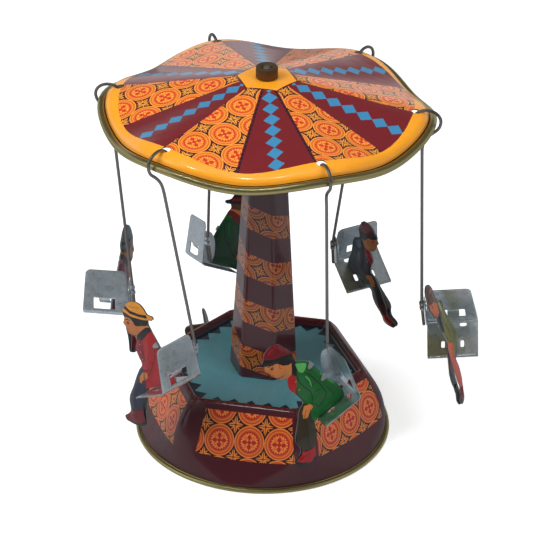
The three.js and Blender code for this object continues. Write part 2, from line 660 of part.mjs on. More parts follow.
// ---------------------------------------------------------------- riders
// Outlines are [x, z] in the seat frame; front, face, hat and back join into one loop.
const HATS = {
  boater: [
    [31.7, 31.2], [31.9, 33.2], [27.4, 37.6], [23.4, 38.9], [19.6, 38.2], [16.8, 36.0],
    [15.0, 33.2], [11.2, 32.0], [11.4, 30.9], [15.2, 30.0], [15.4, 28.2],
  ],
  brim: [
    [31.8, 31.2], [33.0, 33.0], [30.6, 34.2], [28.6, 37.2], [24.6, 39.0], [20.8, 38.6],
    [17.4, 35.8], [15.4, 32.8], [12.2, 31.8], [12.4, 30.8], [15.6, 30.0], [16.0, 28.2],
  ],
  cap: [
    [33.7, 32.2], [32.4, 33.8], [28.8, 37.6], [25.6, 38.4], [23.0, 37.7], [20.8, 34.6],
    [18.8, 30.8], [19.0, 28.2],
  ],
  tall: [
    [31.2, 31.8], [29.6, 36.6], [26.6, 39.8], [22.6, 41.0], [18.8, 39.2], [16.4, 35.2],
    [15.0, 31.6], [15.8, 28.2],
  ],
  bare: [
    [33.0, 32.6], [32.4, 35.2], [30.4, 37.4], [27.0, 38.2], [23.4, 37.6], [20.0, 35.0],
    [18.2, 31.4], [18.4, 29.0],
  ],
};
const BODIES = {
  high: {
    front: [
      [24.4, -5.4], [27.6, -11.8], [29.8, -17.6], [30.4, -24.2], [33.0, -25.6], [37.9, -25.6],
      [41.2, -24.8], [44.2, -22.8], [41.4, -20.2], [38.8, -18.2], [37.4, -11.6], [30.4, 0.4],
      [27.6, 4.2], [25.0, 7.0], [27.0, 13.0], [27.2, 15.6], [25.6, 19.2],
    ],
    face: [[26.0, 21.0], [28.6, 21.5], [31.0, 23.2], [31.2, 25.2], [32.9, 27.1], [31.6, 29.6]],
    back: [
      [14.6, 26.2], [12.6, 22.4], [9.8, 17.2], [7.4, 12.0], [5.0, 7.0], [3.6, 3.2],
      [3.7, -0.3], [22.0, -4.3],
    ],
  },
  low: {
    front: [
      [22.3, -4.9], [23.6, -9.8], [27.0, -16.0], [28.4, -21.8], [29.4, -22.7], [31.9, -23.0],
      [35.6, -22.6], [38.0, -20.9], [38.6, -18.9], [34.4, -16.6], [33.4, -14.2], [34.2, -10.6],
      [28.4, 0.4], [26.6, 3.4], [23.4, 6.2], [24.0, 9.0], [26.8, 15.2], [26.0, 18.8],
    ],
    face: [[25.6, 20.6], [28.0, 21.5], [30.2, 23.4], [31.8, 26.7], [33.6, 28.6], [33.0, 31.0]],
    back: [
      [18.6, 26.4], [14.4, 24.0], [11.8, 20.2], [9.1, 13.0], [5.6, 6.9], [4.0, 3.2],
      [4.2, -0.4], [21.0, -4.3],
    ],
  },
};
// [y, z] section of the outer tin half; the inner half mirrors it in y
const HALF_SECTION = [
  [0.75, 44], [0.75, 2], [1.2, -3], [2.0, -8], [2.0, -13], [1.2, -20], [0.75, -28],
  [0.3, -28], [0.75, -20], [1.55, -13], [1.55, -8], [0.75, -3], [0.3, 2], [0.3, 44],
];
const HIP = { x: 14, z: 2 }; // the rider is posed about this point
// room left for the seat's pan, back and tab
const SEAT_CLEARANCES = [
  box([-6, SEAT.depth + 0.4], [-16, 16], [-14, 0.35], PAN_TILT),
  box([-20, 0.4], [-16, 16], [-6, 23]),
  box([-1, 3.3], [-5, 7], [2, 8.2]),
];

function riderHalf({ hat, legs, shift, turn, roll, leanBack }, side) {
  const { front, face, back } = BODIES[legs];
  const outline = [...front, ...face, ...HATS[hat], ...back];
  const prism = plate(outline, 12, chain(move(0, 6, 0), DRAWN_XZ));
  const strip = plate(HALF_SECTION.map(([y, z]) => [side * y, z]), 60, DRAWN_YZ);
  const pose = chain(
    move(HIP.x, shift, HIP.z), turnZ(turn), turnX(roll), turnY(-leanBack),
    move(-HIP.x, 0, -HIP.z),
  );
  let half = moved(prism.intersect(strip), pose);
  for (const clearance of SEAT_CLEARANCES) half = half.subtract(clearance);
  return largest(half);
}

// ---------------------------------------------------------------- swings
// fold: centre of the seat's fold line, [forward, radial, up] in the hanger frame.
// tilt: [pitch, roll, yaw] of the seat in degrees.
// Rider: shift along y, then turn about z, roll about x and leanBack about y in degrees.
const SWINGS = [
  { fold: [-15.4, 91.1, 60.8], tilt: [18.0, 7.6, 3.6], suit: "rider_olive",
    hat: "bare", legs: "low", shift: 0, turn: 0, roll: 13.5, leanBack: 20.5 },
  { fold: [-6.6, 81.2, 60.7], tilt: [20.2, 5.8, -30.0], suit: "rider_slate",
    hat: "cap", legs: "low", shift: -2.6, turn: 17, roll: 0, leanBack: 18.5 },
  { fold: [-9.5, 78.2, 54.6], tilt: [11.9, -13.4, 2.9], suit: "rider_forest",
    hat: "brim", legs: "high", shift: -3.5, turn: 0, roll: 0, leanBack: 0 },
  { fold: [-5.3, 77.9, 57.9], tilt: [17.5, -6.0, -7.5], suit: "rider_mauve",
    hat: "tall", legs: "high", shift: -1.2, turn: 0, roll: 0, leanBack: -3 },
  { fold: [-10.7, 72.8, 61.3], tilt: [15.6, 0.4, -3.0], suit: "rider_red",
    hat: "boater", legs: "high", shift: 0, turn: 0, roll: 1.7, leanBack: 0 },
  { fold: [-14.9, 74.9, 62.1], tilt: [18.9, 6.4, 2.6], suit: "rider_green",
    hat: "cap", legs: "low", shift: 1.6, turn: 0, roll: 8.8, leanBack: 0 },
];

root.userData.swings = SWINGS.map((swing, i) => {
  const number = i + 1;
  const angle = rad(60 * i + HOLE_PHASE);
  const forward = vec3(Math.sin(angle), -Math.cos(angle), 0); // clockwise seen from above
  const outward = vec3(Math.cos(angle), Math.sin(angle), 0);
  const hangerFrame = axes(forward, outward, vec3(0, 0, 1));
  const [pitch, roll, yaw] = swing.tilt;
  const seatFrame = chain(
    hangerFrame, move(...swing.fold), turnZ(yaw), turnX(roll), turnY(pitch),
  );

  const points = hangerPoints(hangerFrame, seatFrame);
  add("hanger_wire_" + number, wire(points, WIRE_R, 6), "steel_wire");

  const group = new THREE.Group();
  group.applyMatrix4(seatFrame);
  root.add(group);
  add("seat_" + number, seat(wireChannel(points, seatFrame)), "bare_tin", group);
  for (const [name, side] of [["outer", 1], ["inner", -1]])
    add(`rider_${number}_${name}`, riderHalf(swing, side), swing.suit, group);

  return {
    name: "swing_" + number,
    hinge: [HINGE_R * outward.x, HINGE_R * outward.y, HINGE_Z],
    axis: [forward.x, forward.y, 0],
  };
});

export default root;
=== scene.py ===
import math
from functools import partial

import bmesh
import bpy
import numpy as np
from mathutils import Matrix, Vector
from mathutils.geometry import delaunay_2d_cdt


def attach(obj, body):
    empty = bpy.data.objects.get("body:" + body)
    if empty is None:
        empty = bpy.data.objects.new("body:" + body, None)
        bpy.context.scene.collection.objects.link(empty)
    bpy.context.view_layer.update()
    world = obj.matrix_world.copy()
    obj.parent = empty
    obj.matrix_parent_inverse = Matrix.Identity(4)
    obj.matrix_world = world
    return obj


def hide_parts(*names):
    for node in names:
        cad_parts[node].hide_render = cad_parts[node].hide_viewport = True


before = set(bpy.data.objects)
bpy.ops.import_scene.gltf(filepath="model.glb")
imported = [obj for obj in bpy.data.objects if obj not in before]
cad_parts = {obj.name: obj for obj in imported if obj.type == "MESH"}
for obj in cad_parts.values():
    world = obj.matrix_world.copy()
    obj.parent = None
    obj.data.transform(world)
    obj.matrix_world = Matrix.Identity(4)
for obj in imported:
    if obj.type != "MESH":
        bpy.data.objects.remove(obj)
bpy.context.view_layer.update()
MM = 0.001
RADIANS = math.pi / 180
DEGREES = 180 / math.pi
rad = math.radians

# Sizes shared by several pieces
SHEET = 0.6  # thickness of the base, column and canopy sheet
TRAY_Z = 34.8  # the base's tray, where the column stands
COLUMN_FOOT, COLUMN_TAPER = 16.8, 0.0593  # corner radius at the tray, and its loss per mm up
HOLE_PHASE = 1.745  # angle of the first canopy hole and swing, degrees


# ------------------------------------------------------------------ shader arithmetic
class Value:
    """A number in a shader. Comparisons give 1 or 0, so * between them means "and"."""

    tree = None  # the node tree being built

    def __init__(self, socket):
        self.socket = socket

    __add__ = lambda self, other: calc("ADD", self, other)
    __radd__ = lambda self, other: calc("ADD", other, self)
    __sub__ = lambda self, other: calc("SUBTRACT", self, other)
    __rsub__ = lambda self, other: calc("SUBTRACT", other, self)
    __mul__ = lambda self, other: calc("MULTIPLY", self, other)
    __rmul__ = lambda self, other: calc("MULTIPLY", other, self)
    __truediv__ = lambda self, other: calc("DIVIDE", self, other)
    __lt__ = lambda self, other: calc("LESS_THAN", self, other)
    __gt__ = lambda self, other: calc("GREATER_THAN", self, other)
    __neg__ = lambda self: calc("MULTIPLY", self, -1.0)


def plug(target, value):
    """Link a socket or Value to target, or set target to a plain number or tuple."""
    if isinstance(value, Value):
        value = value.socket
    if isinstance(value, bpy.types.NodeSocket):
        Value.tree.links.new(value, target)
    else:
        target.default_value = value


def node(kind, inputs, output=0, **settings):
    """A new shader node with its inputs plugged; returns one of its output sockets."""
    made = Value.tree.nodes.new("ShaderNode" + kind)
    for key, setting in settings.items():
        setattr(made, key, setting)
    for key, value in inputs.items():
        plug(made.inputs[key], value)
    return made.outputs[output]


def calc(operation, *values):
    return Value(node("Math", dict(enumerate(values)), operation=operation))


absolute = partial(calc, "ABSOLUTE")
least = partial(calc, "MINIMUM")
most = partial(calc, "MAXIMUM")  # of two comparisons: "or"
floor = partial(calc, "FLOOR")
fraction = partial(calc, "FRACT")
sine = partial(calc, "SINE")
cosine = partial(calc, "COSINE")
arctan = partial(calc, "ARCTAN2")


def hypotenuse(across, along):
    return calc("SQRT", across * across + along * along)


def between(value, low, high):
    return (value < high) * (value > low)


def ramp(value, span, outputs=(0.0, 1.0)):
    """Smooth step: outputs[0] at span[0] to outputs[1] at span[1]."""
    inputs = dict(enumerate((value, *span, *outputs)))
    return Value(node("MapRange", inputs, interpolation_type="SMOOTHSTEP"))


def srgb(*channels):
    """A 0-255 display colour as a linear RGBA tuple."""
    scaled = [c / 255.0 for c in channels]
    return (*(c / 12.92 if c <= 0.04045 else ((c + 0.055) / 1.055) ** 2.4 for c in scaled), 1.0)


def mix(factor, first, second):
    """The first colour where factor is 0 and the second where it is 1."""
    return node("Mix", {0: factor, 6: first, 7: second}, 2, data_type="RGBA", clamp_factor=True)


def tint(colour, value):
    """A colour multiplied by a number near 1."""
    return node("HueSaturation", {"Value": value, "Color": colour})


def millimetres():
    """The object's own coordinates in millimetres, as a vector."""
    place = node("TexCoord", {}, "Object")
    return node("VectorMath", {"Scale": 1000.0, 0: place}, operation="SCALE")


def axes(vector):
    """x, y and z of a vector."""
    return [Value(s) for s in node("SeparateXYZ", {0: vector}).node.outputs]


def noise(vector, scale, detail=3.0, rough=0.55):
    return Value(node("TexNoise", {
        "Scale": scale, "Detail": detail, "Roughness": rough, "Distortion": 0.0,
        "Vector": vector}))


def stretch(vector, scale, rotation=(0, 0, 0)):
    return node("Mapping", {"Scale": scale, "Rotation": rotation, "Vector": vector})


def cells(vector, scale):
    """A random grey for each cell."""
    colour = node("TexVoronoi", {"Scale": scale, "Vector": vector}, "Color", feature="F1")
    return Value(node("RGBToBW", {0: colour}))


def bumps(*layers):
    """Bump nodes in a chain, one for each (height, strength, distance in mm)."""
    last = None
    for height, strength, distance in layers:
        inputs = {"Strength": strength, "Distance": distance * MM, "Height": height}
        if last is not None:
            inputs["Normal"] = last
        last = node("Bump", inputs)
    return last


def material(name, build):
    """build() gives the Principled inputs by name."""
    made = bpy.data.materials.new(name)
    made.use_nodes = True
    Value.tree = made.node_tree
    principled = made.node_tree.nodes["Principled BSDF"]
    for key, value in build().items():
        plug(principled.inputs[key], value)
    return made


# ------------------------------------------------------------------ printed patterns
MAROON_TOP = srgb(114, 24, 30)
MAROON_BASE = srgb(74, 17, 27)
MAROON_COLUMN = srgb(70, 16, 28)
MAROON_SEAM = srgb(40, 12, 20)
DARK_MAROON = srgb(70, 16, 28)
BORDER = srgb(250, 164, 34)
BLUE = srgb(60, 132, 176)
BLUE_HALO = srgb(96, 70, 84)
STITCH = srgb(22, 12, 18)
STITCH_GROUND = srgb(98, 26, 38)
TEAL = srgb(86, 140, 150)
NAVY = srgb(18, 30, 42)
# Ornament colours: ground, light, middle, red
CANOPY_INKS = DARK_MAROON, srgb(246, 160, 58), srgb(224, 108, 34), srgb(208, 48, 26)
BASE_INKS = srgb(48, 10, 20), srgb(240, 138, 58), srgb(208, 80, 32), srgb(190, 30, 32)
COLUMN_INKS = srgb(52, 12, 22), srgb(204, 120, 42), srgb(156, 74, 28), srgb(134, 24, 30)

# Radii in the tile ornament, in pitches
DISC = 0.497
MID_BANDS = ((0.402, 0.462), (0.33, 0.378))
RED_RING, RED_TEETH, TOOTH_COUNT = (0.292, 0.33), (0.255, 0.3), 20.0
CORE, ARM_REACH, LEAF_SPAN = 0.062, 0.235, (0.10, 0.25)
HALF_ROOT = 0.7071  # turns an axis sum into a distance along the diagonal


def lattice(u, v, ground, light, middle, red):
    """The tile ornament: touching round medallions on a square lattice of pitch 1 with
    four-pointed stars between them. u, v are in pitches, a medallion's centre at 0, 0."""
    du, dv = fraction(u + 0.5) - 0.5, fraction(v + 0.5) - 0.5
    abs_u, abs_v = absolute(du), absolute(dv)
    radius = hypotenuse(du, dv)
    angle = arctan(dv, du)
    # star between the discs: outlined leaves along the axes and a small diagonal cross
    star_u, star_v = 0.5 - abs_u, 0.5 - abs_v  # distances from the star's centre
    reach, side = most(star_u, star_v), least(star_u, star_v)
    leaf_width = ramp(reach, (0.33, 0.10), (0.0, 0.055)) * ramp(reach, (0.02, 0.10), (0.25, 1.0))
    leaf = (side < leaf_width) * (side > 0.011)
    cross = (absolute(star_u - star_v) < 0.022) * (reach < 0.135) * (reach > 0.03)
    colour = mix(most(leaf, cross), ground, light)
    # disc with its rings
    colour = mix(radius < DISC, colour, light)
    for low, high in MID_BANDS:
        colour = mix(between(radius, low, high), colour, middle)
    colour = mix(between(radius, *RED_RING), colour, red)
    teeth = between(radius, *RED_TEETH) * (cosine(angle * TOOTH_COUNT) > 0.1)
    colour = mix(teeth, colour, red)
    # rosette: four arms with knobs, four hollow leaves on the diagonals
    along, off = most(abs_u, abs_v), least(abs_u, abs_v)
    knob = ramp(along, (0.06, 0.15), (0.0, 0.04)) * ramp(along, (0.225, 0.19))
    arm = (along < ARM_REACH) * (off < 0.022 + knob)
    core = radius < CORE
    diagonal = (along + off) * HALF_ROOT
    beside = absolute(along - off) * HALF_ROOT
    low, high = LEAF_SPAN
    petal = ((diagonal > low) * (diagonal < high)
             * (beside < ramp(diagonal, (high, 0.18), (0.0, 0.045)))
             * (beside > ramp(diagonal, (high, 0.16), (0.0, 0.022))))
    colour = mix(petal * (radius < high), colour, mix(0.35, red, middle))
    return mix(most(arm, core), colour, red)


def turned_lattice(across, along, degrees, pitch, inks):
    """The ornament turned by some degrees, at a pitch in millimetres."""
    c, s = math.cos(rad(degrees)), math.sin(rad(degrees))
    return lattice((across * c + along * s) / pitch, (along * c - across * s) / pitch, *inks)


def print_finish(vector, colour, rough, coat, wave, wear_and_highlight=None, bare=None):
    """Glossy lithographed tin: slight ink variation, dust-fine mottling, waviness of the
    sheet, faint scratches in the varnish, and the bare colour at worn edges; on the base's lip
    that colour is also a painted highlight."""
    patches = noise(vector, scale=0.055)
    mottle = noise(vector, scale=3.2, detail=4, rough=0.7)
    colour = tint(colour, 0.90 + patches * 0.12 + mottle * 0.09)
    streaks = stretch(vector, scale=(0.25, 2.6, 1.2), rotation=(0.3, 0.7, 0.5))
    scratch = ramp(noise(streaks, scale=1.1, detail=6, rough=0.75), (0.66, 0.72))
    metal = 0.0
    if wear_and_highlight is not None:
        # worn edges are mixed towards the bare colour; on the base's lip this lighter colour is also
        # a painted highlight
        edge = wear_and_highlight * ramp(noise(vector, scale=0.9, detail=5, rough=0.7), (0.50, 0.60))
        colour = mix(edge, colour, bare)
        metal = edge * 0.8
    waviness = noise(vector, scale=0.045, detail=2)
    return {
        "Base Color": colour,
        "Roughness": rough + mottle * 0.10 + scratch * 0.16,
        "Metallic": metal,
        "Coat Weight": coat,
        "Coat Roughness": 0.05 + scratch * 0.25 + mottle * 0.05,
        "Normal": bumps((waviness, wave, 2.0), (mottle, 0.10, 0.04), (scratch, 0.08, 0.03)),
    }


SECTOR_START = 0.3  # angle of the first edge between canopy sectors, degrees
DIAMOND_HALF, DIAMOND_WIDE, DIAMOND_COUNT = 3.86, 3.7, 7
FIRST_DIAMOND = 18.9  # radius of the innermost diamond's centre
SIN_EDGE, COS_EDGE = 0.2588, 0.9659  # of the 15 degrees from a sector's middle to its edge


def canopy_sector(degrees, width):
    """The index of the sector an angle is in, and the radians from that sector's middle."""
    index = floor((degrees - SECTOR_START) / width)
    middle = (index + 0.5) * width + SECTOR_START
    return index, (degrees - middle) * RADIANS


def canopy_print():
    vector = millimetres()
    x, y, _ = axes(vector)
    radius = hypotenuse(x, y)
    degrees = arctan(y, x) * DEGREES
    index, turn = canopy_sector(degrees, 30.0)
    odd = fraction(index * 0.5) > 0.25
    along, across = radius * cosine(turn), radius * sine(turn)
    ornament = turned_lattice(along - 26.4, across - 0.5, 50.0, 14.75, CANOPY_INKS)
    # blue diamonds down the middle of each maroon sector, and a tiny one near the hub
    row = (along - (FIRST_DIAMOND - DIAMOND_HALF)) / (2 * DIAMOND_HALF)
    shape = absolute(fraction(row) - 0.5) * 2.0 + absolute(across) / DIAMOND_WIDE
    diamond = (shape < 1.0) * (row > 0.0) * (row < DIAMOND_COUNT)
    halo = (shape < 1.07) * (row > -0.03) * (row < DIAMOND_COUNT + 0.03)
    tiny = absolute(along - 13.9) / 1.15 + absolute(across) / 1.3 < 1.0
    maroon = mix(halo, MAROON_TOP, BLUE_HALO)
    maroon = mix(most(diamond, tiny), maroon, BLUE)
    # dashed stitch lines, in the front maroon sector only
    inset = SIN_EDGE * along - absolute(across) * COS_EDGE  # distance in from the sector's edge
    line = (inset > 0.35) * (inset < 1.05)
    dash = fraction(along / 2.7) > 0.24
    front = (index > -3.5) * (index < -2.5)
    maroon = mix(line * dash * front, maroon, STITCH)
    ground = (inset > -0.2) * (inset < 1.4) * (1.0 - line * dash) * front
    maroon = mix(ground, maroon, STITCH_GROUND)
    colour = mix(odd, ornament, maroon)
    # thin lines between the sectors
    colour = mix(absolute(inset) < 0.16, colour, DARK_MAROON)
    # hub hexagon with a dark outline
    _, turn = canopy_sector(degrees, 60.0)
    apothem = radius * cosine(turn)
    colour = mix(apothem < 12.65, colour, DARK_MAROON)
    colour = mix(apothem < 12.15, colour, BORDER)
    # orange border at the curl, its edge slightly uneven
    wobble = noise(vector, scale=0.12, detail=2) * 0.5
    colour = mix(radius + wobble > 69.15, colour, BORDER)
    return print_finish(vector, colour, rough=0.24, coat=0.85, wave=0.55)


def base_print():
    vector = millimetres()
    x, y, z = axes(vector)
    radius = hypotenuse(x, y)
    degrees = arctan(y, x) * DEGREES
    turn = (degrees - (floor(degrees / 60.0) + 0.5) * 60.0) * RADIANS
    lateral, outward = radius * sine(turn), radius * cosine(turn)
    # printed panels on the six flats, with a bowed lower edge and leaning sides
    across = lateral - 2.6
    bottom = 13.7 + across * across * 0.0023
    half = 24.5 - (z - 14.0) * 0.166
    panel = (z > bottom) * (z < 34.9) * (absolute(across) < half) * (outward > 44.0)
    tile_u = (across - 1.5) / 14.6
    tile_v = (z - 22.6 - across * 0.035) / 14.8
    colour = mix(panel, MAROON_BASE, lattice(tile_u, tile_v, *BASE_INKS))
    # tray: teal floor with navy triangles along its edges
    triangle = absolute(fraction((lateral - 1.5) / 8.4) - 0.5) * 2.0
    navy = 41.3 - outward < 1.5 + triangle * 4.9
    streaks = stretch(vector, scale=(1.0, 0.25, 1.0))
    teal = tint(TEAL, 0.86 + noise(streaks, scale=0.5, detail=5, rough=0.65) * 0.28)
    tray = (z < 35.15) * (outward < 42.2)
    colour = mix(tray, colour, mix(navy, teal, NAVY))
    # a lighter worn colour on the rim's lip, wear that is also a painted highlight, and wear at its
    # corners
    lip_wear_and_highlight = ramp(z, (37.1, 37.95))
    corner = (ramp(absolute(turn), (rad(25), rad(29.5))) * ramp(z, (12.0, 30.0))) * (z > 35.4)
    return print_finish(vector, colour, rough=0.30, coat=0.6, wave=0.55,
                        wear_and_highlight=most(lip_wear_and_highlight * 0.75, corner * 0.45), bare=srgb(160, 90, 80))


BAND_RISE, BAND_WIDE = 24.95, 12.1  # the spiral band's climb per turn, and its height


def column_print():
    vector = millimetres()
    x, y, z = axes(vector)
    degrees = calc("WRAP", arctan(y, x) * DEGREES, 450.0, 90.0)
    mean_radius = (COLUMN_FOOT - COLUMN_TAPER * (z - TRAY_Z)) * 0.95
    climb = (degrees - 270.0) * (-BAND_RISE / 360.0)
    below_top = (fraction((z - 50.6 - climb) / BAND_RISE) - 1.0) * BAND_RISE
    band = below_top > -BAND_WIDE
    around = mean_radius * (degrees - 234.0) * RADIANS
    ornament = turned_lattice(around - 16.4, below_top + 1.6, -13.0, 14.1, COLUMN_INKS)
    colour = mix(band, MAROON_COLUMN, ornament)
    # folded seam down the back
    seam = (y > 0.0) * (absolute(x) < 0.35)
    colour = mix(seam, colour, MAROON_SEAM)
    return print_finish(vector, colour, rough=0.26, coat=0.85, wave=0.45,
                        wear_and_highlight=ramp(z, (37.0, 34.9)) * 0.5, bare=srgb(120, 100, 90))


def tin(name, colour, rough, spangle=0.0, dirt=0.3, anisotropy=0.0, dull=0.0):
    """Bare or lacquered metal sheet: brushed grain, spangles, tarnish in patches."""

    def build():
        vector = millimetres()
        patches = noise(vector, scale=0.10, detail=4, rough=0.6)
        mottle = noise(vector, scale=1.5, detail=5, rough=0.7)
        brushed = stretch(vector, scale=(0.5, 0.5, 9.0))
        grain = noise(brushed, scale=1.2, detail=4, rough=0.6)
        metal = tint(srgb(*colour), 0.86 + patches * 0.16 + mottle * 0.12)
        roughness = rough + mottle * 0.16 + grain * 0.06
        if spangle:
            coarse, small = cells(vector, scale=0.42), cells(vector, scale=1.9)
            glitter = 1.0 - spangle * 0.5 + coarse * spangle * 0.6 + small * spangle * 0.4
            metal = tint(metal, glitter)
            roughness = roughness + coarse * spangle * 0.14
        metal = tint(metal, 0.90 + noise(vector, scale=2.4, detail=4, rough=0.8) * 0.2)
        spots = ramp(noise(vector, scale=0.7, detail=6, rough=0.75), (0.60, 0.74))
        return {
            "Base Color": mix(spots * dirt, metal, srgb(74, 66, 52)),
            "Metallic": 1.0 - spots * 0.3 - dull,
            "Roughness": roughness + spots * 0.2,
            "Anisotropic": anisotropy,
            "Normal": bumps((patches, 0.35, 0.9), (mottle, 0.12, 0.05)),
        }

    return material(name, build)


def ink(name, colour, rough, shade):
    """A printed colour on a rider: ink with soft streaky shading."""

    def build():
        vector = millimetres()
        patches = noise(vector, scale=0.22, detail=4, rough=0.6)
        streaks = noise(stretch(vector, scale=(1.0, 1.0, 0.35)), scale=0.35, rough=0.5)
        printed = tint(srgb(*colour), 1.0 - shade + streaks * shade * 1.4 + patches * shade * 0.6)
        return print_finish(vector, printed, rough, coat=0.4, wave=0.3)

    return material("ink_" + name, build)


CANOPY_PRINT = material("canopy_print", canopy_print)
BASE_PRINT = material("base_print", base_print)
COLUMN_PRINT = material("column_print", column_print)
GOLD_TIN = tin("gold_lacquered_tin", (206, 192, 132), rough=0.2, dirt=0.5)
INNER_TIN = tin("inner_lacquered_tin", (186, 168, 104), rough=0.36, spangle=0.05, dirt=0.5)
# a dark tin for the narrow strip where the sheet turns into its rolled edge: painted shadow in the
# crease
GROOVE_PAINTED_SHADE = tin("curl_groove_painted_shade", (40, 34, 26), rough=0.6, dirt=0.6, dull=0.5)
WIRE = tin("drawn_wire", (150, 148, 144), rough=0.26, dirt=0.35, anisotropy=0.3)
SEAT_TIN = tin("spangled_tinplate", (232, 242, 247), rough=0.17, spangle=0.34, dirt=0.0)
CUT_EDGE = tin("cut_tin_edge", (196, 200, 200), rough=0.30, spangle=0.1)
BARE_TIN = tin("bare_tin_inside", (150, 156, 156), rough=0.34, spangle=0.2, dirt=0.35)
NUT_BROWN = tin("browned_nut", (104, 84, 58), rough=0.46, dirt=0.7, dull=0.25)
STEEL = tin("plain_steel", (176, 178, 180), rough=0.26, anisotropy=0.4)
BRASS = tin("stamped_brass", (214, 176, 96), rough=0.26, anisotropy=0.3)
SPRING = tin("blued_spring", (70, 84, 110), rough=0.24, dirt=0.25, anisotropy=0.5)
KEY_TIN = tin("dull_tin_key", (150, 152, 152), rough=0.36, spangle=0.3, dirt=0.5)


# ------------------------------------------------------------------ mesh helpers
def make(name, verts, faces, materials, ids=None, sharp=None, smooth=True, facing=None):
    """A linked object from points in millimetres. ids are the faces' material slots, sharp
    an angle in degrees, facing a direction the faces mostly have to look in."""
    mesh = bpy.data.meshes.new(name)
    mesh.from_pydata((np.asarray(verts, float) * MM).tolist(), [], [list(f) for f in faces])
    for slot in materials:
        mesh.materials.append(slot)
    if ids is not None:
        mesh.polygons.foreach_set("material_index", np.asarray(ids, np.int32))
    mesh.polygons.foreach_set("use_smooth", [smooth] * len(mesh.polygons))
    bm = bmesh.new()
    bm.from_mesh(mesh)
    bmesh.ops.remove_doubles(bm, verts=bm.verts, dist=1e-7)
    bmesh.ops.dissolve_degenerate(bm, edges=bm.edges, dist=1e-8)
    bmesh.ops.recalc_face_normals(bm, faces=bm.faces)
    if facing is not None:
        wanted = Vector([float(c) for c in facing])
        if sum(f.calc_area() * f.normal.dot(wanted) for f in bm.faces) < 0:
            bmesh.ops.reverse_faces(bm, faces=bm.faces)
    bm.to_mesh(mesh)
    bm.free()
    if sharp:
        mesh.set_sharp_from_angle(angle=rad(sharp))
    mesh.update()
    made = bpy.data.objects.new(name, mesh)
    bpy.context.scene.collection.objects.link(made)
    return made


def register(piece, ride, replaces=None):
    """Tell the frame what a piece moves with and the CAD piece it replaces."""
    if replaces:
        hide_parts(replaces)
    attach(piece, ride)


def applied(piece, sharp):
    """The piece with its modifiers made real."""
    bpy.context.view_layer.update()
    graph = bpy.context.evaluated_depsgraph_get()
    mesh = bpy.data.meshes.new_from_object(piece.evaluated_get(graph), depsgraph=graph)
    old = piece.data
    piece.modifiers.clear()
    piece.data = mesh
    mesh.name = piece.name
    bpy.data.meshes.remove(old)
    mesh.polygons.foreach_set("use_smooth", [True] * len(mesh.polygons))
    mesh.set_sharp_from_angle(angle=rad(sharp))
    return piece


def cut(piece, cutters, sharp, operation="DIFFERENCE"):
    """A boolean with each cutter in turn; the cutters are removed."""
    for cutter in cutters:
        modifier = piece.modifiers.new("cut", "BOOLEAN")
        modifier.operation = operation
        modifier.object = cutter
        modifier.solver = "MANIFOLD"
        modifier.material_mode = "TRANSFER"
    applied(piece, sharp)
    for cutter in cutters:
        mesh = cutter.data
        bpy.data.objects.remove(cutter)
        bpy.data.meshes.remove(mesh)


def bevel(piece, width, segments):
    modifier = piece.modifiers.new("edge", "BEVEL")
    modifier.width = width * MM
    modifier.segments = segments
    modifier.limit_method = "ANGLE"
    modifier.angle_limit = rad(50)


def thicken(piece, thickness, offset, rim, shell):
    """Sheet metal: rim and shell are how many slots on the rim and other side lie."""
    modifier = piece.modifiers.new("thickness", "SOLIDIFY")
    modifier.thickness = thickness * MM
    modifier.offset = offset
    modifier.use_even_offset = True
    modifier.material_offset = shell
    modifier.material_offset_rim = rim


def turn_section(name, section, segments, materials, ids, sharp):
    """Quads round z: section(degrees) gives a closed loop of (radius, z), and ids the
    material of the strip after each of its points."""
    count = len(ids)
    verts, faces = [], []
    for i in range(segments):
        degrees = 360.0 * i / segments
        c, s = math.cos(rad(degrees)), math.sin(rad(degrees))
        verts += [(r * c, r * s, z) for r, z in section(degrees)]
        here, there = i * count, ((i + 1) % segments) * count
        for j in range(count):
            k = (j + 1) % count
            faces.append((here + j, there + j, there + k, here + k))
    return make(name, verts, faces, materials, ids * segments, sharp)


def lathe(name, profile, segments, slot, matrix=np.eye(4)):
    """A closed profile [(radius, z)] turned about z; both ends may lie on the axis."""
    verts, faces, index = [], [], []
    for r, z in profile:
        if r < 1e-6:
            index.append([len(verts)] * segments)
            verts.append((0, 0, z))
        else:
            index.append([len(verts) + i for i in range(segments)])
            angles = [2 * math.pi * i / segments for i in range(segments)]
            verts += [(r * math.cos(a), r * math.sin(a), z) for a in angles]
    count = len(profile)
    on_axis = profile[0][0] < 1e-6 and profile[-1][0] < 1e-6
    for j in range(count - 1 if on_axis else count):
        k = (j + 1) % count
        for i in range(segments):
            n = (i + 1) % segments
            face = tuple(dict.fromkeys((index[j][i], index[j][n], index[k][n], index[k][i])))
            if len(face) > 2:
                faces.append(face)
    return make(name, place(matrix, verts), faces, [slot], sharp=30)


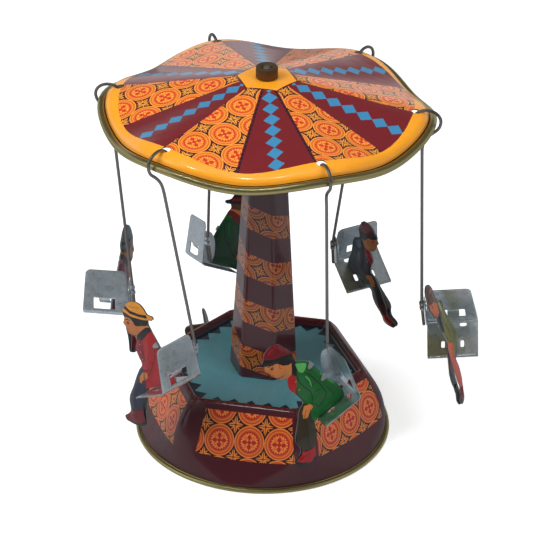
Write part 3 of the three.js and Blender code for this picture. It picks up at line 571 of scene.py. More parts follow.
def catmull(points, steps, closed=False):
    """Points on a Catmull-Rom curve spaced by chord length, so many steps per interval."""
    pts = np.asarray(points, float)
    count = len(pts)
    out = []
    for i in range(count if closed else count - 1):
        p1, p2 = pts[i], pts[(i + 1) % count]
        p0 = pts[(i - 1) % count] if (closed or i > 0) else 2 * p1 - p2
        p3 = pts[(i + 2) % count] if (closed or i < count - 2) else 2 * p2 - p1
        d0, d1, d2 = (max(np.linalg.norm(b - a), 1e-6) for a, b in ((p0, p1), (p1, p2), (p2, p3)))
        t1 = (p2 - p1) / d1 - (p2 - p0) / (d1 + d0) + (p1 - p0) / d0
        t2 = (p3 - p2) / d2 - (p3 - p1) / (d1 + d2) + (p2 - p1) / d1
        t1, t2 = t1 * d1, t2 * d1
        for k in range(steps):
            t = k / steps
            out.append((2 * t**3 - 3 * t**2 + 1) * p1 + (t**3 - 2 * t**2 + t) * t1
                       + (-2 * t**3 + 3 * t**2) * p2 + (t**3 - t**2) * t2)
    if not closed:
        out.append(pts[-1])
    return np.array(out)


def smooth_loop(points, steps=3):
    return catmull(points, steps, closed=True)


def left_normals(points):
    tangents = np.gradient(points, axis=0)
    tangents /= np.maximum(np.linalg.norm(tangents, axis=1)[:, None], 1e-9)
    return np.stack([-tangents[:, 1], tangents[:, 0]], 1)


def offset_profile(points, distance):
    """A 2-D polyline moved by a distance to its left."""
    pts = np.asarray(points, float)
    return pts + distance * left_normals(pts)


def hexagon_radius(apothem, corner, degrees):
    """Radius at an angle of a hexagon with rounded corners, a corner being at 0 degrees."""
    flat = abs(rad((degrees % 60.0) - 30.0))
    if corner >= apothem - 1e-6:
        return apothem
    if flat <= math.atan((apothem - corner) * math.tan(rad(30)) / apothem):
        return apothem / math.cos(flat)
    centre, turn = (apothem - corner) / math.cos(rad(30)), rad(30) - flat
    chord = max(corner * corner - (centre * math.sin(turn)) ** 2, 0.0)
    return centre * math.cos(turn) + math.sqrt(chord)


def rounded_corner(before, corner, after, radius, share, steps):
    """Points that round a corner off, using at most a share of each side."""
    back, ahead = before - corner, after - corner
    back_length, ahead_length = np.linalg.norm(back), np.linalg.norm(ahead)
    reach = min(radius, share * back_length, share * ahead_length)
    if reach < 1e-3:
        return [corner]
    start, end = corner + back / back_length * reach, corner + ahead / ahead_length * reach
    return [(1 - t) ** 2 * start + 2 * t * (1 - t) * corner + t * t * end
            for t in np.arange(steps + 1) / steps]


def fillet(points, radius, steps):
    """A polyline with its corners rounded."""
    pts = np.asarray(points, float)
    out = [pts[0]]
    for i in range(1, len(pts) - 1):
        out += rounded_corner(pts[i - 1], pts[i], pts[i + 1], radius, 0.45, steps)
    return np.array(out + [pts[-1]])


def round_polygon(points, radii, steps):
    """A closed polygon with its corners rounded, by one radius or one for each."""
    pts = np.asarray(points, float)
    out = []
    for i, radius in enumerate(np.broadcast_to(radii, len(pts))):
        out += rounded_corner(pts[i - 1], pts[i], pts[(i + 1) % len(pts)], radius, 0.48, steps)
    return np.array(out)


def slot_polygon(x0, x1, y0, y1, radius):
    return round_polygon([(x0, y0), (x1, y0), (x1, y1), (x0, y1)], radius, 3)


def mirror(points):
    """Points in reverse order on the other side of the first axis."""
    return [(x, -y) for x, y in reversed(points)]


def sweep(path, radius, sides):
    """A round bar with domed ends along a path that starts out vertical: verts, faces."""
    tangents = np.gradient(path, axis=0)
    tangents /= np.linalg.norm(tangents, axis=1)[:, None]
    first, last = tangents[0], tangents[-1]
    dome = (1.35, 0.95, 0.5)
    rings = [(path[0] - first * radius * math.sin(a), radius * math.cos(a), first) for a in dome]
    rings += [(p, radius, t) for p, t in zip(path, tangents)]
    rings += [(path[-1] + last * radius * math.sin(a), radius * math.cos(a), last)
              for a in dome[::-1]]
    normal = np.cross(first, [1.0, 0.0, 0.0])
    normal /= np.linalg.norm(normal)
    previous = first
    verts = []
    for centre, size, tangent in rings:
        # carry the normal along without twist
        axis = np.cross(previous, tangent)
        length = np.linalg.norm(axis)
        if length > 1e-9:
            angle = math.asin(min(1.0, length))
            axis = axis / length
            normal = (normal * math.cos(angle) + np.cross(axis, normal) * math.sin(angle)
                      + axis * (axis @ normal) * (1 - math.cos(angle)))
        normal = normal - tangent * (normal @ tangent)
        normal /= np.linalg.norm(normal)
        beside = np.cross(tangent, normal)
        previous = tangent
        for j in range(sides):
            a = 2 * math.pi * j / sides
            verts.append(centre + (normal * math.cos(a) + beside * math.sin(a)) * size)
    count = len(rings)
    faces = [(i * sides + j, i * sides + (j + 1) % sides,
              (i + 1) * sides + (j + 1) % sides, (i + 1) * sides + j)
             for i in range(count - 1) for j in range(sides)]
    faces.append(tuple(range(sides))[::-1])
    faces.append(tuple((count - 1) * sides + j for j in range(sides)))
    return np.array(verts), faces


def merge(parts):
    """Several (verts, faces) as one."""
    verts, faces, count = [], [], 0
    for part_verts, part_faces in parts:
        verts.append(np.asarray(part_verts, float))
        faces += [tuple(i + count for i in f) for f in part_faces]
        count += len(part_verts)
    return np.concatenate(verts), faces


def ribbon_faces(index):
    """Faces of a strip with thickness. index has four rows of vertex numbers along it: one
    surface at either edge, then the other surface at the same edges."""
    a0, a1, b0, b1 = index.tolist()
    faces = []
    for i in range(len(a0) - 1):
        k = i + 1
        faces += [(a0[i], a0[k], a1[k], a1[i]), (b0[i], b1[i], b1[k], b0[k]),
                  (a0[i], b0[i], b0[k], a0[k]), (a1[i], a1[k], b1[k], b1[i])]
    return faces + [(a0[0], a1[0], b1[0], b0[0]), (a0[-1], b0[-1], b1[-1], a1[-1])]


def ribbon(rows):
    """verts, faces of a strip from its four rows of points."""
    count = len(rows[0])
    return np.reshape(rows, (-1, 3)), ribbon_faces(np.arange(4 * count).reshape(4, count))


def plate(low, high):
    """verts, faces of a flat plate between two matching outlines of 3-D points."""
    count = len(low)
    faces = [tuple(range(count))[::-1], tuple(range(count, 2 * count))]
    faces += [(i, (i + 1) % count, count + (i + 1) % count, count + i) for i in range(count)]
    return low + high, faces


def inside(polygon, x, y):
    within = False
    for (x0, y0), (x1, y1) in zip(polygon, polygon[1:] + polygon[:1]):
        if (y0 > y) != (y1 > y) and x < (x1 - x0) * (y - y0) / (y1 - y0) + x0:
            within = not within
    return within


def edge_distance(polygon, points):
    """Distance of each point to the closed polygon's outline."""
    start = np.asarray(polygon, float)
    sides = np.roll(start, -1, axis=0) - start
    squares = np.maximum((sides * sides).sum(1), 1e-12)
    pts = np.asarray(points, float)
    t = ((pts[:, None, :] - start[None]) * sides[None]).sum(2) / squares[None]
    nearest = start[None] + np.clip(t, 0, 1)[..., None] * sides[None]
    return np.sqrt(((pts[:, None, :] - nearest) ** 2).sum(2)).min(1)


def anticlockwise(polygon):
    pts = [tuple(map(float, q)) for q in polygon]
    area = sum(a[0] * b[1] - b[0] * a[1] for a, b in zip(pts, pts[1:] + pts[:1]))
    return pts if area > 0 else pts[::-1]


def sheet(outline, regions, holes, step, margin):
    """A flat sheet with its outline filled by triangles that follow every region's edge.
    regions: [(material index, polygon)] painted in order. Returns points, triangles, ids."""
    loops = [anticlockwise(q) for q in [outline, *holes, *(r for _, r in regions)]]
    coords, faces = [], []
    for loop in loops:
        faces.append(list(range(len(coords), len(coords) + len(loop))))
        coords += [Vector(q) for q in loop]
    low, high = np.min(outline, axis=0), np.max(outline, axis=0)
    columns = np.arange(low[0] + step / 2, high[0], step)
    rows = np.arange(low[1] + step / 2, high[1], step)
    grid = np.array([(x + (step / 2 if k % 2 else 0), y) for k, y in enumerate(rows)
                     for x in columns])
    distance = np.min([edge_distance(q, grid) for q in [outline, *holes]], axis=0)
    first_region = 1 + len(holes)
    fill = np.array([(x, y) for (x, y), d in zip(grid, distance)
                     if d > margin and inside(loops[0], x, y)
                     and not any(inside(h, x, y) for h in loops[1:first_region])])
    if regions:
        near = np.min([edge_distance(r, fill) for _, r in regions], axis=0)
        fill = fill[near > 0.18]
    coords += [Vector(q) for q in fill]
    verts, _, found, _, _, sources = delaunay_2d_cdt(coords, [], faces, 1, 1e-5, True)
    triangles, ids = [], []
    for triangle, source in zip(found, sources):
        if 0 not in source or any(1 + h in source for h in range(len(holes))):
            continue
        slot = 0
        for k, (region_slot, _) in enumerate(regions):
            if first_region + k in source:
                slot = region_slot
        triangles.append(tuple(triangle))
        ids.append(slot)
    used = sorted({i for t in triangles for i in t})
    renumber = {i: k for k, i in enumerate(used)}
    points = np.array([tuple(verts[i]) for i in used])
    return points, [tuple(renumber[i] for i in t) for t in triangles], ids


def shift(x=0, y=0, z=0):
    matrix = np.eye(4)
    matrix[:3, 3] = (x, y, z)
    return matrix


def spin(axis, degrees):
    c, s = math.cos(rad(degrees)), math.sin(rad(degrees))
    matrix = np.eye(4)
    i, j = {"x": (1, 2), "y": (2, 0), "z": (0, 1)}[axis]
    matrix[i, i] = matrix[j, j] = c
    matrix[i, j], matrix[j, i] = -s, s
    return matrix


def axes_matrix(x_axis, y_axis, z_axis, origin=(0, 0, 0)):
    matrix = np.eye(4)
    matrix[:3] = np.stack([x_axis, y_axis, z_axis, origin], 1)
    return matrix


def place(matrix, points):
    return np.asarray(points, float) @ matrix[:3, :3].T + matrix[:3, 3]


# ------------------------------------------------------------------ base
# (apothem, corner radius, z) of the wall's outer face, from the rolled edge to the tray
OUTER = [
    (61.5, 61.5, 3.0), (58.9, 41.4, 8.0), (55.9, 19.7, 14.0), (52.1, 7.5, 25.0),
    (47.6, 5.0, 33.5), (45.7, 4.9, 35.9), (44.3, 4.6, 37.4), (42.9, 4.3, 38.0),
    (41.75, 3.9, 37.3), (41.25, 3.6, 35.6), (40.7, 3.4, TRAY_Z),
]
TRAY_EDGE, TRAY_HOLE = 40.7, 7.0  # apothem of the tray's edge, radius of its centre hole
TRAY_UNDER = TRAY_Z - SHEET
ROLL_CENTRE, ROLL_RADIUS = 62.35, 1.15  # the rolled edge rests on z = 0
KEY_OUT = np.array([math.cos(rad(150)), math.sin(rad(150)), 0.0])
KEY_SIDE = np.array([KEY_OUT[1], -KEY_OUT[0], 0.0])
ARBOR = KEY_SIDE * 19 + np.array([0, 0, 24.5])  # a point on the winding arbor's line


def tray_corner(apothem):
    """Corner radius over apothem across the tray: round at the centre hole."""
    return 0.085 + (1 - 0.085) * ((TRAY_EDGE - apothem) / (TRAY_EDGE - TRAY_HOLE)) ** 2


def base_profile():
    """(apothem, corner radius / apothem, z, material of the strip after it) round the
    sheet's section. Materials: 0 print, 1 gold, 2 inside, 3 groove, a dark tin that paints the
    crease's shadow."""
    outer = catmull([(a, r / a, z) for a, r, z in OUTER], 5)
    inner = [(a, q, max(z, 0.8)) for (_, q, _), (a, z)
             in zip(outer, offset_profile(outer[:, [0, 2]], SHEET))]
    inner = [p for p in inner if p[2] < TRAY_UNDER or (p[0] > 41.5 and p[2] > 35.2)]
    profile = [(*p, 0) for p in outer]
    profile += [(a, tray_corner(a), TRAY_Z, 0) for a in (34.0, 24.0, 14.0)]
    profile += [(TRAY_HOLE, 1.0, TRAY_Z, 2), (TRAY_HOLE, 1.0, TRAY_UNDER, 2)]
    profile += [(a, tray_corner(a), TRAY_UNDER, 2) for a in (14.0, 24.0, 34.0)]
    profile += [(40.75, 0.084, TRAY_UNDER, 2), (41.45, 0.086, 34.75, 2)]
    profile += [(*p, 2) for p in inner[:0:-1]]
    profile += [(60.9, 1.0, 3.0, 2), (60.95, 1.0, 1.9, 2), (61.17, 1.0, 1.15, 2)]
    # the rolled edge, closed under the sheet
    profile += [(ROLL_CENTRE + ROLL_RADIUS * math.cos(rad(d)), 1.0,
                 ROLL_RADIUS + ROLL_RADIUS * math.sin(rad(d)), 1) for d in range(-180, 121, 15)]
    # the strip into the rolled edge gets the groove's dark tin, a painted shadow between wall and
    # roll
    return profile + [(61.62, 1.0, 2.35, 3), (61.46, 1.0, 2.62, 0)]


def build_base():
    profile = base_profile()

    def section(degrees):
        return [(hexagon_radius(a, q * a, degrees), z) for a, q, z, _ in profile]

    base = turn_section("base_shell_tin", section, 288, [BASE_PRINT, GOLD_TIN, INNER_TIN, GROOVE_PAINTED_SHADE],
                        [p[3] for p in profile], sharp=42)
    # round hole for the winding arbor
    matrix = np.eye(4)
    matrix[:3, :3] = Vector((0, 0, 1)).rotation_difference(Vector(KEY_OUT)).to_matrix()
    matrix[:3, 3] = ARBOR + KEY_OUT * 52
    hole = lathe("hole_cutter", [(0, -8), (3.0, -8), (3.0, 8), (0, 8)], 48, INNER_TIN, matrix)
    cut(base, [hole], sharp=42)
    register(base, "base", "base_shell")


build_base()


# ------------------------------------------------------------------ column
SEAM_HEIGHT, SEAM_HALF, SEAM_SIDE = 0.34, 1.35, 0.35  # folded seam down the back flat
TAB_PATH = [(14.6, 36.6), (14.6, 33.7), (14.9, 33.25), (16.6, 33.2)]  # (radius, z)
TAB_HALF, TAB_SHEET = 2.6, 0.5


def column_radius(z, inset, degrees):
    corner = COLUMN_FOOT - COLUMN_TAPER * (z - TRAY_Z)
    rounding = 3.2 - 0.006 * (z - TRAY_Z)
    apothem = (corner + 0.1547 * rounding) / 1.1547 - inset
    radius = hexagon_radius(apothem, rounding - inset * 0.8, degrees)
    if inset == 0.0:
        from_seam = abs(((degrees - 90.0 + 180.0) % 360.0) - 180.0) * math.pi / 180 * radius
        fall = max(0.0, 1.0 - (from_seam - SEAM_HALF) / SEAM_SIDE)
        radius += SEAM_HEIGHT * (1.0 if from_seam < SEAM_HALF else fall)
    return radius


def build_column():
    heights = list(np.linspace(35.1, 178.0, 30))
    profile = [(z, 0.0) for z in heights] + [(z, SHEET) for z in heights[::-1]]

    def section(degrees):
        return [(column_radius(z, inset, degrees), z) for z, inset in profile]

    column = turn_section("column_tin", section, 240, [COLUMN_PRINT, INNER_TIN],
                          [0] * 29 + [1] * 31, sharp=40)
    # tabs of the foot through the tray, bent over under it
    outer = offset_profile(TAB_PATH, TAB_SHEET)
    verts = [(x, y, z) for side in (TAB_PATH, outer) for x, z in side
             for y in (-TAB_HALF, TAB_HALF)]
    count = len(TAB_PATH)
    index = np.arange(4 * count).reshape(2, count, 2).transpose(0, 2, 1).reshape(4, count)
    faces = ribbon_faces(index)
    tabs = make("column_foot_tabs", *merge([(place(spin("z", a), verts), faces)
                                            for a in (90, 210, 330)]), [INNER_TIN], smooth=False)
    register(tabs, "base")
    register(column, "base", "column_shell")


build_column()

# ------------------------------------------------------------------ canopy
CANOPY_Z, CANOPY_FLAT, CANOPY_SLOPE = 190.0, 12.5, 0.2265  # top, flat's radius, fall per mm
CANOPY_BORE = 2.3
CURL_R, CURL_Z, CURL_SIZE = 76.06, 171.15, 1.9
CURL_SHOULDER = [(66.5, 177.77), (69.7, 176.98), (72.3, 175.9), (73.85, 174.2), (74.35, 172.4)]


def scalloped(r, z, degrees):
    """A point of the canopy's section moved by the edge's six waves."""
    lobe = math.cos(rad(6 * (degrees - HOLE_PHASE)))
    lift = max(0.0, min(1.0, (r - CANOPY_FLAT) / (CURL_R - CANOPY_FLAT)))
    out = max(0.0, min(1.0, (r - 60) / 14))
    out = out * out * (3 - 2 * out)
    return r + 1.7 * out * lobe, z + 2.26 * lift * lobe


def build_canopy():
    top = [(r, CANOPY_Z) for r in (CANOPY_BORE, 4.0, 8.0, 11.8)] + [(12.5, 189.93), (13.3, 189.78)]
    top += [(r, CANOPY_Z - CANOPY_SLOPE * (r - CANOPY_FLAT)) for r in np.linspace(16, 66.5, 24)]
    top += [tuple(p) for p in catmull(CURL_SHOULDER, 5)[1:]]
    roll = [(CURL_R + CURL_SIZE * math.cos(rad(d)), CURL_Z + CURL_SIZE * math.sin(rad(d)))
            for d in range(140, -160, -12)]
    under = [tuple(p) for p in offset_profile(top, -SHEET)[::-1] if p[1] > 171.3]
    profile = top + roll + under
    # the last two strips before the curl get the groove's dark tin, a painted shadow in the crease
    ids = [0] * (len(top) - 2) + [3, 3] + [1] * (len(roll) - 1) + [2] * (1 + len(under))

    def section(degrees):
        return [scalloped(r, z, degrees) for r, z in profile]

    canopy = turn_section("canopy_tin", section, 360, [CANOPY_PRINT, GOLD_TIN, INNER_TIN, GROOVE_PAINTED_SHADE],
                          ids, sharp=45)
    # holes for the hanger wires
    holes = []
    for i in range(6):
        a = rad(HOLE_PHASE + 60 * i)
        holes.append(lathe("hole_%d" % i, [(0, 168), (2.25, 168), (2.25, 186), (0, 186)], 32,
                           INNER_TIN, shift(70 * math.cos(a), 70 * math.sin(a))))
    cut(canopy, holes, sharp=45)
    register(canopy, "rotor", "canopy_sheet")


build_canopy()

# ------------------------------------------------------------------ top nut
NUT_PROFILE = [  # (radius, z)
    (2.3, 190.3), (4.75, 190.3), (5.0, 190.42), (5.15, 190.75), (5.15, 195.1), (5.05, 195.55),
    (4.8, 195.8), (4.45, 195.9), (3.3, 195.9), (3.05, 195.75), (2.7, 195.2), (2.3, 195.05),
]
register(lathe("top_nut_turned", NUT_PROFILE, 64, NUT_BROWN), "rotor", "top_nut")

# ------------------------------------------------------------------ hanger wires
# One row per swing, 60 degrees apart. seat: its place in the swing's frame, and its turns
# about y, x and z. rider: shift in y, then yaw, lean and pitch on the seat.
SWINGS = [
    dict(seat=((-15.4, 91.1, 60.8), (18.0, 7.6, 3.6)), rider=(0.0, 0.0, 13.5, 20.5)),
    dict(seat=((-6.6, 81.2, 60.7), (20.2, 5.8, -30.0)), rider=(-2.6, 17.0, 0.0, 18.5)),
    dict(seat=((-9.5, 78.2, 54.6), (11.9, -13.4, 2.9)), rider=(-3.5, 0.0, 0.0, 0.0)),
    dict(seat=((-5.3, 77.9, 57.9), (17.5, -6.0, -7.5)), rider=(-1.2, 0.0, 0.0, -3.0)),
    dict(seat=((-10.7, 72.8, 61.3), (15.6, 0.4, -3.0)), rider=(0.0, 0.0, 1.7, 0.0)),
    dict(seat=((-14.9, 74.9, 62.1), (18.9, 6.4, 2.6)), rider=(1.6, 0.0, 8.8, 0.0)),
]
HINGE_R, HINGE_Z = 75.2, 174.6  # middle of the wire's hook
HOOK_R, HOOK_TOP = 6.5, 5.4  # its radius, and its flattened height above the middle
WIRE_RADIUS, WIRE_Y = 0.75, -13.75  # the wire runs beside the seat at this y
WIRE_TOP_X, WIRE_TOP_Z = 0.7, 13.0  # where its straight run down the seat starts
# the run from the hook towards the seat, in the swing's frame
WIRE_DROP = [(-0.4, 76.4, 167.0), (-1.0, 74.2, 163.6), (-1.6, 73.4, 159.6)]


def swing_matrix(k):
    """The swing's frame about z: x clockwise seen from above, y outwards, z up."""
    c, s = (f(rad(60 * k + HOLE_PHASE)) for f in (math.cos, math.sin))
    return axes_matrix((s, -c, 0), (c, s, 0), (0, 0, 1))


def seat_matrix(k):
    at, (pitch, roll, yaw) = SWINGS[k]["seat"]
    return swing_matrix(k) @ shift(*at) @ spin("z", yaw) @ spin("x", roll) @ spin("y", pitch)


def wire_path(k):
    points = [(0, HINGE_R - 6.4, HINGE_Z - 6.6)]
    for i in range(21):
        degrees = 180.0 - 11.75 * i
        height = HOOK_TOP if degrees > 0 else HOOK_R
        points.append((0, HINGE_R + HOOK_R * math.cos(rad(degrees)),
                       HINGE_Z + height * math.sin(rad(degrees))))
    points = place(swing_matrix(k), points + WIRE_DROP)
    beside_seat = [(WIRE_TOP_X, WIRE_Y, WIRE_TOP_Z), (3.6, WIRE_Y, 2.2)]
    return fillet(np.concatenate([points, place(seat_matrix(k), beside_seat)]), 2.2, 5)


for k in range(6):
    wire = make("wire_%d" % (k + 1), *sweep(wire_path(k), WIRE_RADIUS, 14), [WIRE], sharp=50)
    register(wire, "swing_%d" % (k + 1), "hanger_wire_%d" % (k + 1))

# ------------------------------------------------------------------ seats
# In a seat's frame x is forward, y outwards and z up the back.
SEAT_SHEET = 0.5
PAN_SLOPE = 11.7  # degrees the pan falls towards its front
FOLD = rad(90 + PAN_SLOPE)
BEND_RADIUS = 1.0
HALF_BEND = BEND_RADIUS * FOLD / 2  # half the bend's length on the flat pattern
BEND_REACH = BEND_RADIUS * math.tan(FOLD / 2)
FOLD_DROP = 0.2035  # depth of the middle surface's corner below z = 0
GROW = HALF_BEND - BEND_REACH + FOLD_DROP  # from a length on the folded seat to the pattern
LIP_START, LIP_RADIUS, LIP_TURN = 19.6, 1.1, rad(72)  # front edge curled down
BACK_HEIGHT = 21.7
TEETH, TOOTH_SPAN = 22, 24.4
EAR = [(-0.35, 0.9), (3.4, 0.8), (5.4, 3.2), (5.8, 8.0), (5.0, 13.4), (2.8, 17.2), (-0.35, 17.6)]
EAR_Y = (-12.42, -11.94)
SLOT_TAB = [(-0.25, 7.95), (-0.1, 7.1), (0.7, 6.0), (1.7, 5.3), (2.5, 5.0)]  # (x, z)


def folded(v):
    """(x, z) on the folded seat's middle surface; v runs along the pattern from the middle
    of the fold, the back being negative and the pan positive."""
    pan = np.array([math.cos(rad(PAN_SLOPE)), -math.sin(rad(PAN_SLOPE))])
    corner = np.array([-SEAT_SHEET / 2, -FOLD_DROP])
    back_foot = corner + np.array([0.0, BEND_REACH])
    pan_start = corner + pan * BEND_REACH
    if v < -HALF_BEND:
        return back_foot + np.array([0.0, -v - HALF_BEND])
    if v <= HALF_BEND:
        t = (v + HALF_BEND) / (2 * HALF_BEND) * FOLD
        return back_foot + BEND_RADIUS * np.array([1 - math.cos(t), -math.sin(t)])
    if v <= LIP_START:
        return pan_start + pan * (v - HALF_BEND)
    down = np.array([pan[1], -pan[0]])
    t = min((v - LIP_START) / LIP_RADIUS, LIP_TURN)
    rest = (v - LIP_START) - t * LIP_RADIUS
    c, s = math.cos(t), math.sin(t)
    curl = pan * (LIP_RADIUS * s) + down * (LIP_RADIUS * (1 - c))
    return pan_start + pan * (LIP_START - HALF_BEND) + curl + (pan * c + down * s) * rest


def seat_sheet():
    """verts, faces of the folded sheet's middle surface in the seat's frame."""
    # pattern outline (v, y): pan side, toothed front edge, other side, round the back
    front = [(20.6 + (0.16 if i % 2 else -0.12), TOOTH_SPAN / 2 - TOOTH_SPAN * i / (TEETH * 2))
             for i in range(TEETH * 2 + 1)]
    pan_side = [(-0.3, 12.4), (14.0, 12.4), (19.0, 12.35), (20.2, 12.3)]
    top = -(BACK_HEIGHT + GROW)
    back_side = [(-1.2, -12.4), (top + 3.6, -10.95), (top + 1.8, -10.75), (top + 0.6, -10.0),
                 (top, -8.6)]
    outline = pan_side + front + mirror(pan_side) + back_side + mirror(back_side)
    holes = [slot_polygon(-(7.6 + GROW), -(2.2 + GROW), -4.9, 6.7, 0.5)]
    for side in (1, -1):
        holes.append(slot_polygon(11.4 + GROW, 15.4 + GROW, *sorted((side * 3.8, side * 5.6)), 0.85))
        holes.append(slot_polygon(1.6 + GROW, 3.7 + GROW, *sorted((side * 3.5, side * 7.0)), 1.0))
    points, triangles, _ = sheet(outline, [], holes, step=1.6, margin=0.35)
    mesh = bpy.data.meshes.new("flat")
    mesh.from_pydata([(p[0], p[1], 0) for p in points], [], triangles)
    bm = bmesh.new()
    bm.from_mesh(mesh)
    # rows of edges across the bends so that it folds cleanly
    for v in [*np.linspace(-HALF_BEND, HALF_BEND, 9), *np.linspace(LIP_START, 20.9, 5)]:
        bmesh.ops.bisect_plane(bm, geom=bm.verts[:] + bm.edges[:] + bm.faces[:], dist=1e-4,
                               plane_co=(v, 0, 0), plane_no=(1, 0, 0))
    bm.verts.index_update()
    verts = []
    for vert in bm.verts:
        x, z = folded(vert.co.x)
        verts.append((x, vert.co.y, z))
    faces = [tuple(v.index for v in face.verts) for face in bm.faces]
    bm.free()
    bpy.data.meshes.remove(mesh)
    return verts, faces


def bent_tab(path, y0, y1, thickness):
    """A strip bent along a path [(x, z)], from y0 to y1."""
    curve = catmull(path, 4)
    sides = offset_profile(curve, thickness / 2), offset_profile(curve, -thickness / 2)
    return ribbon([[(x, y, z) for x, z in side] for side in sides for y in (y0, y1)])


def crimp_strap(z, half_height):
    """A sheet strap from the back's side edge, wrapped once round the wire."""
    centre_x = WIRE_TOP_X + (WIRE_TOP_Z - z) * 0.269
    radius = WIRE_RADIUS + 0.05 + 0.22  # to the strap's middle: a gap and part of its sheet
    points = [(-0.25, -11.6), (-0.25, -12.3)]
    points += [(centre_x + radius * math.cos(rad(d)), WIRE_Y + radius * math.sin(rad(d)))
               for d in np.linspace(150, 425, 20)]
    points = fillet(points, 0.3, 2)
    return ribbon([[(x, y, height) for x, y in offset_profile(points, d)] for d in (0.2, -0.2)
                   for height in (z - half_height, z + half_height)])


def build_seat(k):
    matrix = seat_matrix(k)
    name = "seat_tin_%d" % (k + 1)
    verts, faces = seat_sheet()
    seat = make(name, place(matrix, verts), faces, [SEAT_TIN, SEAT_TIN, CUT_EDGE], [0] * len(faces))
    thicken(seat, SEAT_SHEET, offset=0.0, rim=2, shell=0)
    bevel(seat, 0.06, 2)
    applied(seat, sharp=40)
    # the slot's tab curled forward, a rounded ear on the inner side, and two straps
    ear = round_polygon(EAR, [0, 1.2, 2, 2, 2, 1.5, 0], 4)
    verts, faces = merge([
        bent_tab(SLOT_TAB, -1.9, 3.9, 0.45),
        plate(*([(x, y, z) for x, z in ear] for y in EAR_Y)),
        crimp_strap(13.9, 0.85),
        crimp_strap(11.4, 0.85),
    ])
    tabs = make(name + "_tabs", place(matrix, verts), faces, [SEAT_TIN], sharp=40)
    register(seat, "swing_%d" % (k + 1), "seat_%d" % (k + 1))
    register(tabs, "swing_%d" % (k + 1))


for k in range(6):
    build_seat(k)

# ------------------------------------------------------------------ winding key
KEY_HUB = [  # (radius, distance out from the z axis)
    (0.0, 55.4), (1.9, 55.4), (1.9, 53.0), (2.45, 53.0), (2.6, 53.2), (2.6, 56.3), (2.3, 56.6),
    (0.0, 56.6),
]
KEY_EAR = [(-0.6, -2.8), (4, -3.9), (7.4, -4.7), (9.8, -4.2), (11.1, -2.5), (11.6, 0)]
KEY_EAR_HALF = 0.5  # half its thickness


def build_key():
    matrix = axes_matrix(-KEY_SIDE, (0, 0, 1), KEY_OUT, ARBOR) @ spin("z", -25)
    hub = lathe("winding_key_tin", KEY_HUB, 40, KEY_TIN)
    metres = matrix.copy()
    metres[:3, 3] *= MM
    hub.data.transform(Matrix(metres.tolist()))
    outline = smooth_loop(KEY_EAR + mirror(KEY_EAR[:-1]), 4)
    verts, faces = plate(*([(x, y, z) for x, y in outline] for z in (-KEY_EAR_HALF, KEY_EAR_HALF)))
    ears = []
    for side in (1, -1):
        along = np.array([side * math.sin(rad(45)), 0, math.cos(rad(45))])
        across = np.array([0.0, 1.0, 0.0])
        ear_frame = axes_matrix(along, across, np.cross(along, across), (0, 0, 55.9))
        ear = make("ear_%d" % side, place(matrix @ ear_frame, verts), faces, [KEY_TIN])
        bevel(ear, 0.22, 3)
        ears.append(applied(ear, sharp=40))
    cut(hub, ears, sharp=38, operation="UNION")
    register(hub, "key", "winding_key")


build_key()

# ------------------------------------------------------------------ riders
INK_TABLE = {  # display colour, roughness, depth of shading
    "black": ((24, 20, 22), 0.30, 0.2), "skin": ((196, 118, 58), 0.34, 0.2),
    "orange_skin": ((214, 106, 46), 0.34, 0.2), "red": ((168, 14, 20), 0.24, 0.25),
    "dark_red": ((112, 18, 26), 0.26, 0.25), "wine": ((136, 26, 46), 0.28, 0.25),
    "green": ((16, 96, 38), 0.24, 0.25), "pale_green": ((92, 172, 92), 0.28, 0.2),
    "forest": ((20, 66, 42), 0.26, 0.25), "olive": ((126, 124, 52), 0.28, 0.22),
    "pale_olive": ((178, 174, 96), 0.28, 0.2), "slate": ((48, 62, 78), 0.26, 0.25),
    "pale_slate": ((96, 118, 136), 0.28, 0.25), "mauve": ((124, 46, 78), 0.26, 0.25),
    "pale_mauve": ((176, 96, 122), 0.28, 0.25), "straw": ((226, 146, 40), 0.26, 0.22),
    "teal_grey": ((78, 116, 124), 0.28, 0.25), "brown": ((92, 52, 30), 0.3, 0.25),
    "olive_brown": ((52, 44, 28), 0.3, 0.3), "navy": ((40, 46, 66), 0.3, 0.3),
    "salmon": ((204, 92, 78), 0.28, 0.2), "pink": ((206, 136, 134), 0.28, 0.2),
    "charcoal": ((40, 38, 42), 0.3, 0.3), "gold": ((210, 150, 50), 0.3, 0.2),
}
INK = {name: ink(name, *row) for name, row in INK_TABLE.items()}


def pen(points, start, end=None, ink="black"):
    """A drawn line from one width to another, tapering towards both ends."""
    curve = catmull(points, 5)
    end = start if end is None else end
    along = np.linspace(0, 1, len(curve))
    taper = np.clip(np.minimum(along, 1 - along) * 6 + 0.35, 0, 1)
    half = ((start + (end - start) * along) * taper / 2)[:, None]
    normals = left_normals(curve)
    return ink, np.concatenate([curve + normals * half, (curve - normals * half)[::-1]])


def blot(ink, points, radius, steps=3):
    return ink, round_polygon(points, radius, steps)


def button(x, z):
    """A gold dot from its lower rear corner."""
    return blot("gold", [(x, z), (x + 0.6, z), (x + 0.6, z + 0.6), (x, z + 0.6)], 0.28)


